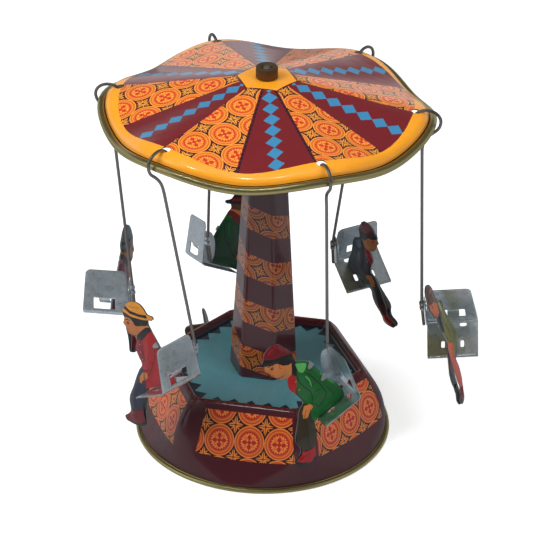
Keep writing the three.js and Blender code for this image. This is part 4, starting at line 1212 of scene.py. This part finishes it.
# Outlines are (x, z) in the seat's frame, x towards the front; a rider's is made of its
# legs, face, hat and back. Prints are (ink or clothing name, polygon), painted in order.
UPRIGHT_LEGS = [
    (24.4, -5.4), (27.6, -11.8), (29.8, -17.6), (30.2, -22.0), (30.6, -24.4), (33.0, -25.6),
    (37.9, -25.6), (41.2, -24.8), (44.0, -23.4), (44.2, -21.8), (41.4, -20.2), (38.8, -18.2),
    (38.0, -15.4), (37.4, -11.6), (33.4, -5.0), (30.4, 0.4), (27.6, 4.2), (25.0, 7.0),
    (26.6, 11.6), (27.2, 15.6), (25.6, 19.2),
]
UPRIGHT_BACK = [
    (14.6, 26.2), (12.6, 22.4), (9.8, 17.2), (7.4, 12.0), (5.0, 7.0), (3.6, 3.2), (3.7, -0.3),
    (12.0, -2.3), (22.0, -4.3),
]
UPRIGHT_FACE = [(26.0, 21.0), (28.6, 21.5), (31.0, 23.2), (31.2, 25.2), (32.9, 27.1), (31.6, 29.6)]
RECLINED_LEGS = [
    (22.3, -4.9), (22.9, -6.6), (23.6, -9.8), (24.9, -12.8), (27.0, -16.0), (28.0, -19.4),
    (28.4, -21.8), (29.4, -22.7), (31.9, -23.0), (35.6, -22.6), (38.0, -20.9), (38.6, -18.9),
    (37.0, -17.7), (34.4, -16.6), (33.4, -14.2), (34.2, -10.6), (31.5, -5.0), (28.4, 0.4),
    (26.6, 3.4), (23.4, 6.2), (24.0, 9.0), (25.2, 12.0), (26.8, 15.2), (26.0, 18.8),
]
RECLINED_BACK = [
    (14.4, 24.0), (11.8, 20.2), (9.1, 13.0), (5.6, 6.9), (4.0, 3.2), (4.2, -0.4), (12.0, -2.4),
    (21.0, -4.3),
]
RECLINED_FACE = [
    (25.6, 20.6), (28.0, 21.5), (30.2, 23.4), (31.4, 25.3), (31.8, 26.7), (33.6, 28.6), (33.0, 31.0),
]

# brow, eye, nostril, mouth, cheek, ear and jaw, as the upright rider has them
FACE_PRINT = [
    pen([(27.2, 29.0), (28.7, 29.6), (30.3, 29.2)], 0.46),
    pen([(27.5, 27.7), (28.6, 28.3), (29.8, 27.7)], 0.34),
    blot("black", [(28.2, 27.1), (29.2, 27.1), (29.2, 28.0), (28.2, 28.0)], 0.35),
    pen([(30.4, 26.3), (30.9, 26.0), (31.4, 26.2)], 0.16),
    blot("red", [(29.5, 24.6), (30.7, 24.5), (30.9, 24.0), (29.8, 24.1)], 0.15, 2),
    pen([(29.2, 24.4), (30.1, 24.3), (31.0, 24.4)], 0.24),
    blot("orange_skin", [(26.9, 25.3), (28.3, 25.3), (28.3, 26.4), (26.9, 26.4)], 0.5),
    blot("orange_skin", [(23.9, 25.7), (25.0, 25.5), (25.4, 27.6), (24.3, 28.1)], 0.5),
    pen([(24.1, 27.9), (25.1, 27.6), (25.3, 26.4), (24.5, 25.5)], 0.16),
    pen([(30.6, 23.6), (28.6, 22.2), (26.4, 21.7), (24.6, 22.2)], 0.34),
]
UPRIGHT_PRINT = [
    ("trousers", [(24.0, 5.2), (30.0, 6.0), (45, -12), (45, -17.8), (37.9, -17.0), (29.7, -16.3),
                  (26.0, -16.0), (20.0, -6.0), (24.5, -4.2), (23.5, -0.3), (24.0, 3.3)]),
    ("boots", [(47, -17.6), (37.8, -17.2), (29.7, -16.2), (26, -16), (26, -28), (47, -28)]),
    ("black", [(47, -21.2), (44.0, -22.3), (41.0, -23.7), (37.8, -24.5), (33.0, -24.0),
               (30.6, -22.9), (26.0, -22.6), (26, -29), (47, -29)]),
    ("skin", [(20.6, 22.6), (24.6, 19.6), (28, 19), (37, 22), (37, 36), (12, 36), (12.6, 26.6),
              (16.4, 25.4)]),
    ("hair", [(33, 34), (32.2, 30.6), (27.1, 30.5), (25.3, 29.6), (24.2, 28.4), (23.6, 27.2),
              (22.0, 26.9), (19.4, 27.3), (16.5, 27.6), (12, 28.8), (12, 36)]),
    ("scarf", [(25.4, 19.6), (24.2, 22.0), (20.6, 24.6), (16.7, 26.9), (12.8, 26.8), (14.6, 24.8),
               (20.6, 20.2), (23.4, 18.8)]),
    ("front", [(22.4, 20.5), (24.8, 19.2), (29, 18), (29, 9), (25.2, 8.0), (24.0, 5.6), (22.3, 9.6),
               (22.6, 15.8)]),
    blot("skin", [(24.6, 3.4), (21.4, 3.6), (21.0, 1.4), (22.8, 0.0), (25.4, -0.8), (26.4, -2.5),
                  (27.9, -1.8), (27.3, 0.9)], 0.5),
    pen([(20.8, 18.8), (21.6, 14.4), (21.5, 10.0), (19.8, 5.0)], 0.5, 0.34),
    pen([(13.0, 19.6), (13.2, 15.6), (14.4, 11.4), (17.0, 7.0)], 0.5, 0.34),
    pen([(19.7, 5.2), (21.8, 4.6), (24.4, 4.3)], 0.45),
    pen([(22.3, 20.2), (22.5, 15.8), (21.9, 11.6), (23.4, 6.4)], 0.34),
    pen([(17.0, 7.0), (19.4, 3.6), (21.4, 1.6)], 0.34),
    pen([(23.4, 4.0), (23.5, -0.4), (24.5, -4.6)], 0.42),
    pen([(17.6, 14.4), (18.7, 11.8), (19.6, 9.4)], 0.26),
    pen([(15.2, 9.4), (16.6, 8.8), (18.4, 9.2)], 0.24),
    pen([(15.2, 20.6), (15.4, 17.0), (16.4, 13.2)], 1.1, 0.7, "light"),
    pen([(8.9, 13.0), (7.6, 9.6), (6.4, 6.4)], 0.7, 0.4, "light"),
    pen([(11.2, 12.4), (9.6, 8.0), (8.8, 3.6)], 0.3),
    blot("light", [(12.4, 23.2), (14.6, 24.6), (16.8, 23.8), (14.4, 21.9)], 0.6),
    pen([(27.2, 0.4), (28.0, -3.6), (31.6, -9.4), (33.8, -15.8)], 0.3),
    pen([(29.9, -16.2), (33.6, -16.8), (37.8, -17.1)], 0.4),
    pen([(33.2, -18.6), (35.8, -19.6), (39.8, -20.8)], 0.26),
    button(23.1, 17.2),
    button(23.3, 13.4),
    button(22.9, 9.6),
]
RECLINED_PRINT = [
    ("trousers", [(22.6, 5.4), (27, 6.4), (40, -8), (38, -15.6), (32.8, -15.2), (27.3, -15.6),
                  (24, -15.6), (18, -6), (22.3, -4.9), (23.2, -3.2), (21.9, 2.0)]),
    ("boots", [(40, -15.4), (32.8, -15.2), (27.3, -15.6), (24, -16), (24, -24), (40, -24)]),
    ("black", [(42, -17.6), (37.6, -18.4), (35.9, -19.9), (32.3, -21.8), (30.6, -21.7),
               (29.8, -20.6), (28.6, -20.6), (26, -21.0), (26, -25), (42, -25)]),
    ("skin", [(20.2, 27.4), (22.0, 22.4), (24.6, 20.6), (28, 19.8), (37, 23), (37, 34), (17, 34)]),
    ("hair", [(35.2, 32.6), (32.8, 31.0), (27.2, 29.9), (26.0, 28.6), (25.0, 27.6), (22.6, 26.4),
              (20.6, 26.6), (17.6, 27.2), (17.4, 33.6), (30, 35)]),
    ("scarf", [(25.6, 20.5), (26.8, 18.6), (27.6, 15.4), (26.2, 11.6), (24.6, 11.6), (23.2, 15.0),
               (21.4, 20.4), (22.9, 21.6)]),
    ("black", [(20.3, 27.8), (22.9, 21.4), (21.7, 19.6), (20.2, 21.6), (18.8, 25.2), (18.7, 26.8)]),
    blot("light", [(19.6, 25.4), (15.0, 23.2), (14.6, 22.0), (17.6, 19.6), (19.5, 20.6),
                   (19.6, 22.6)], 0.9),
    pen([(20.8, 21.2), (21.2, 17.6), (20.6, 14.4), (18.2, 8.6), (19.4, 4.6)], 0.55, 0.4),
    pen([(17.4, 19.9), (15.4, 17.0), (14.0, 13.6), (12.4, 9.0), (11.8, 4.9), (14.8, 2.1),
         (18.1, 0.7)], 0.55, 0.4),
    pen([(23.4, 14.8), (24.4, 11.4), (23.4, 8.2), (22.2, 5.2)], 0.4),
    pen([(23.4, 5.1), (21.6, 4.4), (20.0, 3.8)], 0.45),
    pen([(20.0, 3.8), (18.4, 2.6), (18.0, 0.7)], 0.36),
    blot("skin", [(20.7, 4.2), (20.1, 2.3), (22.9, 0.6), (24.6, -1.2), (26.7, -0.9), (26.0, 1.9),
                  (23.7, 4.5)], 0.5),
    pen([(23.4, 2.6), (25.0, 1.0), (25.8, -0.6)], 0.2),
    pen([(21.8, 2.0), (23.3, -3.0), (22.2, -5.0)], 0.42),
    pen([(14.4, 12.6), (16.2, 12.0), (18.2, 12.4)], 0.28),
    pen([(13.2, 7.6), (15.2, 8.6), (17.6, 8.0)], 0.28),
    pen([(17.6, 17.6), (16.6, 14.8), (17.0, 11.6)], 0.8, 0.5, "light"),
    pen([(10.4, 15.2), (8.4, 10.8), (6.4, 7.0)], 0.7, 0.4, "light"),
    pen([(10.6, 8.4), (9.4, 4.6), (9.0, 1.0)], 0.3),
    pen([(25.9, 0.8), (26.6, -4.6), (29.0, -10.6), (29.6, -15.4)], 0.3),
    pen([(27.2, -15.7), (30.0, -15.5), (33.2, -15.2)], 0.4),
    pen([(30.4, -17.4), (33.0, -17.8), (36.4, -18.4)], 0.26),
    button(22.3, 17.0),
    button(22.4, 12.6),
]
HATS = {  # kind: (outline from the forehead to the nape, print)
    "boater": ([
        (31.7, 31.2), (31.9, 33.2), (29.6, 35.8), (27.4, 37.6), (23.4, 38.9), (19.6, 38.2),
        (16.8, 36.0), (15.0, 33.2), (11.2, 32.0), (11.4, 30.9), (15.2, 30.0), (15.4, 28.2),
    ], [
        ("hat", [(34, 34.2), (31.4, 33.1), (26.1, 31.7), (19.1, 30.5), (14.1, 30.2), (9, 30.2),
                 (9, 42), (34, 42)]),
        ("band", [(33.0, 35.4), (28.8, 34.4), (25.7, 32.9), (20.3, 31.8), (15.0, 31.4),
                  (15.2, 32.8), (20.0, 33.2), (25.3, 34.4), (28.4, 35.9), (33, 37.4)]),
        pen([(31.6, 33.2), (26.1, 31.6), (19.1, 30.4), (14.1, 30.3), (11.4, 30.9)], 0.4,
            ink="band"),
        pen([(27.6, 37.0), (23.6, 38.0), (20.0, 37.2)], 0.5, ink="gold"),
    ]),
    "brim": ([
        (31.8, 31.2), (33.0, 33.0), (30.6, 34.2), (28.6, 37.2), (24.6, 39.0), (20.8, 38.6),
        (17.4, 35.8), (15.4, 32.8), (12.2, 31.8), (12.4, 30.8), (15.6, 30.0), (16.0, 28.2),
    ], [
        ("hat", [(35, 34.4), (31.4, 32.4), (26.1, 31.2), (19.1, 30.3), (14.1, 30.1), (9, 30.2),
                 (9, 42), (35, 42)]),
        ("band", [(33.0, 35.4), (28.8, 34.2), (25.7, 33.0), (20.3, 32.2), (15.6, 31.9),
                  (15.4, 33.2), (20.0, 33.8), (25.3, 34.8), (29.8, 36.2)]),
    ]),
    "tall": ([
        (31.2, 31.8), (31.0, 34.0), (29.6, 36.6), (26.6, 39.8), (22.6, 41.0), (18.8, 39.2),
        (16.4, 35.2), (15.0, 31.6), (15.8, 28.2),
    ], [
        ("hat", [(35, 32.0), (31.2, 31.8), (24.0, 31.0), (18.0, 29.4), (14.0, 29.6), (12, 44),
                 (35, 44)]),
        ("band", [(32.5, 33.2), (24.0, 32.3), (17.8, 31.0), (14.6, 31.4), (14.8, 33.0),
                  (17.6, 32.9), (23.8, 34.0), (32.0, 34.9)]),
        pen([(27.6, 36.0), (26.2, 38.4), (23.4, 39.6)], 0.9, 0.5, "pale_slate"),
    ]),
    "cap": ([
        (33.7, 32.2), (32.4, 33.8), (30.9, 36.2), (28.8, 37.6), (25.6, 38.4), (23.0, 37.7),
        (20.8, 34.6), (18.8, 30.8), (19.0, 28.2), (18.6, 26.4),
    ], [
        ("hat", [(36, 34.4), (32.4, 33.6), (27.2, 31.8), (23.0, 31.2), (19.4, 30.4), (15, 31.4),
                 (17, 42), (36, 42)]),
        ("band", [(36, 34.6), (34.4, 32.2), (32.4, 31.6), (27.4, 30.0), (23.0, 29.5), (19.6, 28.8),
                  (16.4, 29.6), (16.4, 31.6), (19.6, 30.8), (23.0, 31.6), (27.0, 32.4),
                  (32.0, 34.2)]),
        pen([(29.6, 35.2), (27.4, 36.6), (24.4, 36.4)], 0.9, 0.5, "wine"),
        pen([(22.4, 36.4), (21.6, 34.0), (21.4, 31.6)], 0.22),
        pen([(29.8, 37.0), (29.6, 35.0), (28.8, 33.0)], 0.22),
        pen([(26.6, 37.9), (24.6, 35.6), (23.6, 32.0)], 0.28),
    ]),
    "bare": ([
        (33.0, 32.6), (32.4, 35.2), (30.4, 37.4), (27.0, 38.2), (23.4, 37.6), (20.0, 35.0),
        (18.2, 31.4), (18.4, 29.0),
    ], [
        ("hair", [(35, 33.4), (30.4, 31.6), (27.0, 31.8), (25.6, 30.4), (24.4, 28.4), (22.6, 26.6),
                  (19.8, 26.0), (14, 27), (14, 40), (35, 40)]),
        pen([(28.6, 33.6), (25.0, 34.4), (21.2, 32.6), (19.2, 29.2)], 0.3),
        pen([(27.4, 35.4), (23.6, 35.6), (20.0, 33.6)], 0.26),
        pen([(28.6, 34.8), (25.4, 35.2), (22.6, 34.4)], 0.45, ink="gold"),
    ]),
}
# limbs: the lines of the shallow ridges along arm, leg and head
UPRIGHT = dict(
    legs=UPRIGHT_LEGS, face=UPRIGHT_FACE, back=UPRIGHT_BACK, print=UPRIGHT_PRINT,
    face_shift=(0.0, 0.0),
    limbs=[[(16.6, 19.0), (17.8, 13.0), (19.4, 7.0), (23.4, 1.6)],
           [(24, 1), (30, -3), (33.6, -12), (36.4, -21)], [(24, 26), (25, 33)]])
RECLINED = dict(
    legs=RECLINED_LEGS, face=RECLINED_FACE, back=RECLINED_BACK, print=RECLINED_PRINT,
    face_shift=(1.6, 0.9),
    limbs=[[(18.4, 19.5), (17.4, 13.0), (15.6, 6.6), (20.4, 2.6)],
           [(23, 1), (27.4, -4), (29.6, -12), (32.4, -19)], [(26, 26), (26.6, 33)]])

# slot, pose, hat, (x, z) of the tabs, and the inks of the clothing in CLOTHING's order
CLOTHING = "jacket light trousers boots skin hair scarf front hat band".split()
RIDERS = [
    ("rider_olive", RECLINED, "bare", [(12.9, 22.1)],
     "olive pale_olive salmon dark_red orange_skin brown black olive brown black"),
    ("rider_slate", RECLINED, "cap", [(12.9, 22.1)],
     "slate pale_slate charcoal red skin black red slate dark_red black"),
    ("rider_forest", UPRIGHT, "brim", [(9.4, 17.0)],
     "forest green charcoal dark_red skin brown dark_red forest black dark_red"),
    ("rider_mauve", UPRIGHT, "tall", [(9.4, 17.0), (31.4, -2.0)],
     "mauve pale_mauve pink dark_red skin brown black wine teal_grey black"),
    ("rider_red", UPRIGHT, "boater", [(10.6, 19.4)],
     "red red navy dark_red skin black black wine straw black"),
    ("rider_green", RECLINED, "cap", [(12.9, 22.1), (8.3, 14.0)],
     "green pale_green olive_brown red skin black red green dark_red black"),
]
# each half's distance from the middle plane, widest at the thighs: z falling, and distance
SPREAD_Z = [44, 2, -3, -8, -13, -20, -28]
SPREAD = [0.75, 0.75, 1.2, 2.0, 2.0, 1.2, 0.75]
HIP_X, HIP_Z = 14, 2  # the point of the seat a rider is turned about
RIDER_SHEET = 0.36
# section of a tab over the rim: (distance out from the outline, y)
RIM_TAB = [(-0.2, 0.0), (0.45, 0.1), (0.62, 0.5), (0.45, 0.98), (-0.3, 1.2), (-2.7, 1.62)]
TAB_TIP = (0.9, 0.72, 0.4)  # its width narrows by these at its last three stations


def rider_matrix(k):
    y, yaw, lean, pitch = SWINGS[k]["rider"]
    return (seat_matrix(k) @ shift(HIP_X, y, HIP_Z) @ spin("z", yaw) @ spin("x", lean)
            @ spin("y", -pitch) @ shift(-HIP_X, 0, -HIP_Z))


def box(name, x_span, y_span, z_span, matrix):
    verts = [(x, y, z) for x in x_span for y in y_span for z in z_span]
    faces = [(0, 1, 3, 2), (4, 6, 7, 5), (0, 4, 5, 1), (2, 3, 7, 6), (0, 2, 6, 4), (1, 5, 7, 3)]
    return make(name, place(matrix, verts), faces, [BARE_TIN], smooth=False)


def pressed_relief(outline, limbs, points):
    """Height of the pressing: domed from the edge, with ridges along the limbs."""
    distance = edge_distance(outline, points)
    relief = 0.62 * (1 - np.exp(-distance / 1.3))
    for limb in limbs:
        line = catmull(limb, 8)
        away = np.sqrt(((points[:, None, :] - line[None]) ** 2).sum(2)).min(1)
        relief += 0.42 * np.exp(-(away / 2.3) ** 2)
    return relief * (np.clip(distance / 1.2, 0, 1) * 0.85 + 0.15)


def rim_tab(outline, spot):
    """A strip from the inner half's edge, over the rim, onto the outer face."""
    i = int(np.argmin(((outline - np.array(spot)) ** 2).sum(1)))
    near = outline[i]
    along = outline[(i + 2) % len(outline)] - outline[i - 2]
    along /= np.linalg.norm(along)
    out = np.array([-along[1], along[0]])
    if inside([tuple(q) for q in outline], *(near + out * 0.6)):
        out = -out
    profile = catmull(RIM_TAB, 3)
    widths = [1.0] * (len(profile) - len(TAB_TIP)) + list(TAB_TIP)
    rows = []
    for side in (offset_profile(profile, 0.14), offset_profile(profile, -0.14)):
        for half in (-1.3, 1.3):
            row = []
            for (reach, y), width in zip(side, widths):
                x, z = near + out * reach + along * half * width
                row.append((x, y, z))
            rows.append(row)
    return ribbon(rows)


def build_rider(k):
    suit, pose, hat_kind, tab_spots, inks = RIDERS[k]
    clothing = dict(zip(CLOTHING, inks.split()))
    hat_outline, hat_print = HATS[hat_kind]
    outline = smooth_loop(pose["legs"] + pose["face"] + hat_outline + pose["back"])
    face = [(name, polygon + np.array(pose["face_shift"])) for name, polygon in FACE_PRINT]
    regions = [(clothing.get(name, name), polygon)
               for name, polygon in pose["print"] + face + hat_print]
    names = list(dict.fromkeys([clothing["jacket"], *(name for name, _ in regions)]))
    rim = len(names)
    materials = [INK[name] for name in names] + [CUT_EDGE] + [BARE_TIN] * (rim + 1)
    points, triangles, ids = sheet(outline, [(names.index(n), p) for n, p in regions], (),
                                   step=0.95, margin=0.3)
    relief = pressed_relief(outline, pose["limbs"], points)
    spread = np.interp(-points[:, 1], [-z for z in SPREAD_Z], SPREAD) - SPREAD[0]
    matrix, seat = rider_matrix(k), seat_matrix(k)
    # boxes (x, y, z spans, frame) that clear the pan, the back and the slot's tab
    clearances = [
        ((-6, 21.7), (-16, 16), (-14, 0.30), seat @ spin("y", PAN_SLOPE)),
        ((-20, 0.4), (-16, 16), (-6, 23), seat),
        ((-1, 3.3), (-5, 7), (2, 8.2), seat),
    ]
    swing = "swing_%d" % (k + 1)
    for half, sign in (("outer", 1), ("inner", -1)):
        y = sign * (0.40 + spread + relief)
        verts = place(matrix, np.stack([points[:, 0], y, points[:, 1]], 1))
        name = "rider_%d_%s" % (k + 1, half)
        rider = make(name + "_tin", verts, triangles, materials, ids, facing=matrix[:3, 1] * sign)
        thicken(rider, RIDER_SHEET, offset=-1.0, rim=rim, shell=rim + 1)
        applied(rider, sharp=50)
        cut(rider, [box("clear_%d" % i, *c) for i, c in enumerate(clearances)], sharp=50)
        register(rider, swing, name)
    # tabs that hold the halves together
    verts, faces = merge([rim_tab(outline, spot) for spot in tab_spots])
    tabs = make("rider_%d_tabs" % (k + 1), place(matrix, verts), faces, [CUT_EDGE], sharp=45)
    register(tabs, swing)


for k in range(6):
    build_rider(k)

# ------------------------------------------------------------------ pieces kept from the frame
KEPT = [
    (INNER_TIN, ["bottom_plate"]),
    (BRASS, ["footstep_bearing", "column_top_bushing", "great_wheel", "second_wheel",
             "contrate_wheel"]),
    (STEEL, ["canopy_collar", "drive_shaft", "second_pinion", "contrate_pinion", "shaft_pinion",
             "winding_arbor", "second_arbor", "contrate_arbor", "movement_plate_inner",
             "movement_plate_outer", *("movement_pillar_%d" % i for i in range(1, 5))]),
    (SPRING, ["mainspring"]),
]
for slot, names in KEPT:
    for name in names:
        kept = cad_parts[name].data.materials
        kept.clear()
        kept.append(slot)

# ------------------------------------------------------------------ floor
scene = bpy.context.scene
scene.view_settings.view_transform = "Standard"
scene.view_settings.look = "None"
FLOOR_HALF, FLOOR_Z = 2500, -0.02


def paper_floor():
    """Nearly white to the camera, grey to everything else."""
    vector = millimetres()
    cloud = noise(vector, scale=0.006, detail=2)
    seen = Value(node("LightPath", {}, "Is Camera Ray"))
    grey = tint(srgb(172, 174, 178), 0.97 + cloud * 0.06)
    white = tint(srgb(246, 246, 246), 0.985 + cloud * 0.03)
    return {
        "Base Color": mix(seen, grey, white),
        "Roughness": 0.75 + cloud * 0.1,
        "Specular IOR Level": 0.1,
        "Emission Color": (1.0, 1.0, 1.0, 1.0),
        "Emission Strength": seen * 0.55 + 0.03,
        "Normal": bumps((noise(vector, scale=0.5, detail=2), 0.02, 0.2)),
    }


make("floor", [(x * FLOOR_HALF, y * FLOOR_HALF, FLOOR_Z)
                        for x, y in ((-1, -1), (1, -1), (1, 1), (-1, 1))],
              [(0, 1, 2, 3)], [material("paper_floor", paper_floor)], smooth=False)


# ------------------------------------------------------------------ world
def build_world():
    """White to the camera; in reflections a dark room with a bright sweep behind the
    object, two side panels and a dim ceiling."""
    world = bpy.data.worlds.new("studio")
    scene.world = world
    world.use_nodes = True
    Value.tree = world.node_tree
    Value.tree.nodes.clear()
    x, y, z = axes(node("TexCoord", {}, "Generated"))
    elevation = calc("ARCSINE", most(least(z, 1.0), -1.0)) * DEGREES
    azimuth = arctan(x, -y) * DEGREES  # 0 at the front, 90 at the right

    def panel(middle, half, soft_side, low, high, soft_end):
        """A soft-edged patch of the sky; all in degrees."""
        turn = calc("WRAP", azimuth - middle, 180.0, -180.0)
        return (ramp(turn, (-half - soft_side, -half + soft_side))
                * ramp(turn, (half + soft_side, half - soft_side))
                * ramp(elevation, (low - soft_end, low + soft_end))
                * ramp(elevation, (high + soft_end, high - soft_end)))

    behind = panel(middle=191.0, half=95, soft_side=25, low=-30, high=17, soft_end=9)
    left = panel(middle=-62.0, half=22, soft_side=8, low=8, high=55, soft_end=6)
    right = panel(middle=78.0, half=14, soft_side=6, low=4, high=48, soft_end=6)
    front = panel(middle=11.0, half=50, soft_side=20, low=-60, high=4, soft_end=12)
    ceiling = ramp(elevation, (60.0, 80.0))
    level = 0.12 + behind * 0.44 + left * 0.65 + right * 0.45 + ceiling * 0.16 + front * 0.06
    room = node("Background", {"Color": (0.96, 0.98, 1.0, 1.0), "Strength": level})
    white = node("Background", {"Color": (1, 1, 1, 1), "Strength": 1.0})
    seen = node("LightPath", {}, "Is Camera Ray")
    output = Value.tree.nodes.new("ShaderNodeOutputWorld")
    plug(output.inputs[0], node("MixShader", {0: seen, 1: room, 2: white}))


build_world()

# ------------------------------------------------------------------ lights and camera
TARGET = Vector((0, 0, 90))


def direction(azimuth, elevation):
    """Unit vector from the target; azimuth 0 at the front and 90 at the right."""
    a, e = rad(azimuth), rad(elevation)
    return Vector((math.sin(a) * math.cos(e), -math.cos(a) * math.cos(e), math.sin(e)))


def area_light(name, azimuth, elevation, distance, size, power):
    """A square lamp aimed at the target."""
    offset = direction(azimuth, elevation) * distance
    light = bpy.data.lights.new(name, "AREA")
    light.shape = "RECTANGLE"
    light.size = light.size_y = size * MM
    light.energy = power
    lamp = bpy.data.objects.new(name, light)
    scene.collection.objects.link(lamp)
    lamp.location = (offset + TARGET) * MM
    lamp.rotation_euler = offset.to_track_quat("Z", "Y").to_euler()
    return lamp


for lamp in (
    area_light("key_light", azimuth=-48, elevation=50, distance=900, size=380, power=4.0),
    area_light("fill_light", azimuth=58, elevation=42, distance=950, size=380, power=2.2),
    area_light("top_light", azimuth=12, elevation=86, distance=800, size=500, power=2.2),
):
    lamp.visible_glossy = False  # the world's panels make the reflections
area_light("glint_light", azimuth=-20, elevation=62, distance=900, size=60, power=0.35)

CAMERA_DISTANCE, CAMERA_ROLL = 1131.1, rad(0.694)
back = direction(azimuth=11.23, elevation=29.28)
level_right = (-back).cross(Vector((0, 0, 1))).normalized()
level_up = level_right.cross(-back)
c, s = math.cos(CAMERA_ROLL), math.sin(CAMERA_ROLL)
lens = bpy.data.cameras.new("camera")
lens.sensor_width = 36.0
lens.lens = 157.893433
lens.shift_x, lens.shift_y = 0.00373358, -0.00101313
lens.clip_start, lens.clip_end = 0.01, 20.0
camera = bpy.data.objects.new("camera", lens)
scene.collection.objects.link(camera)
pose = Matrix((level_right * c + level_up * s, level_up * c - level_right * s, back))
pose = pose.transposed().to_4x4()
pose.translation = (TARGET + back * CAMERA_DISTANCE) * MM
camera.matrix_world = pose
scene.camera = camera
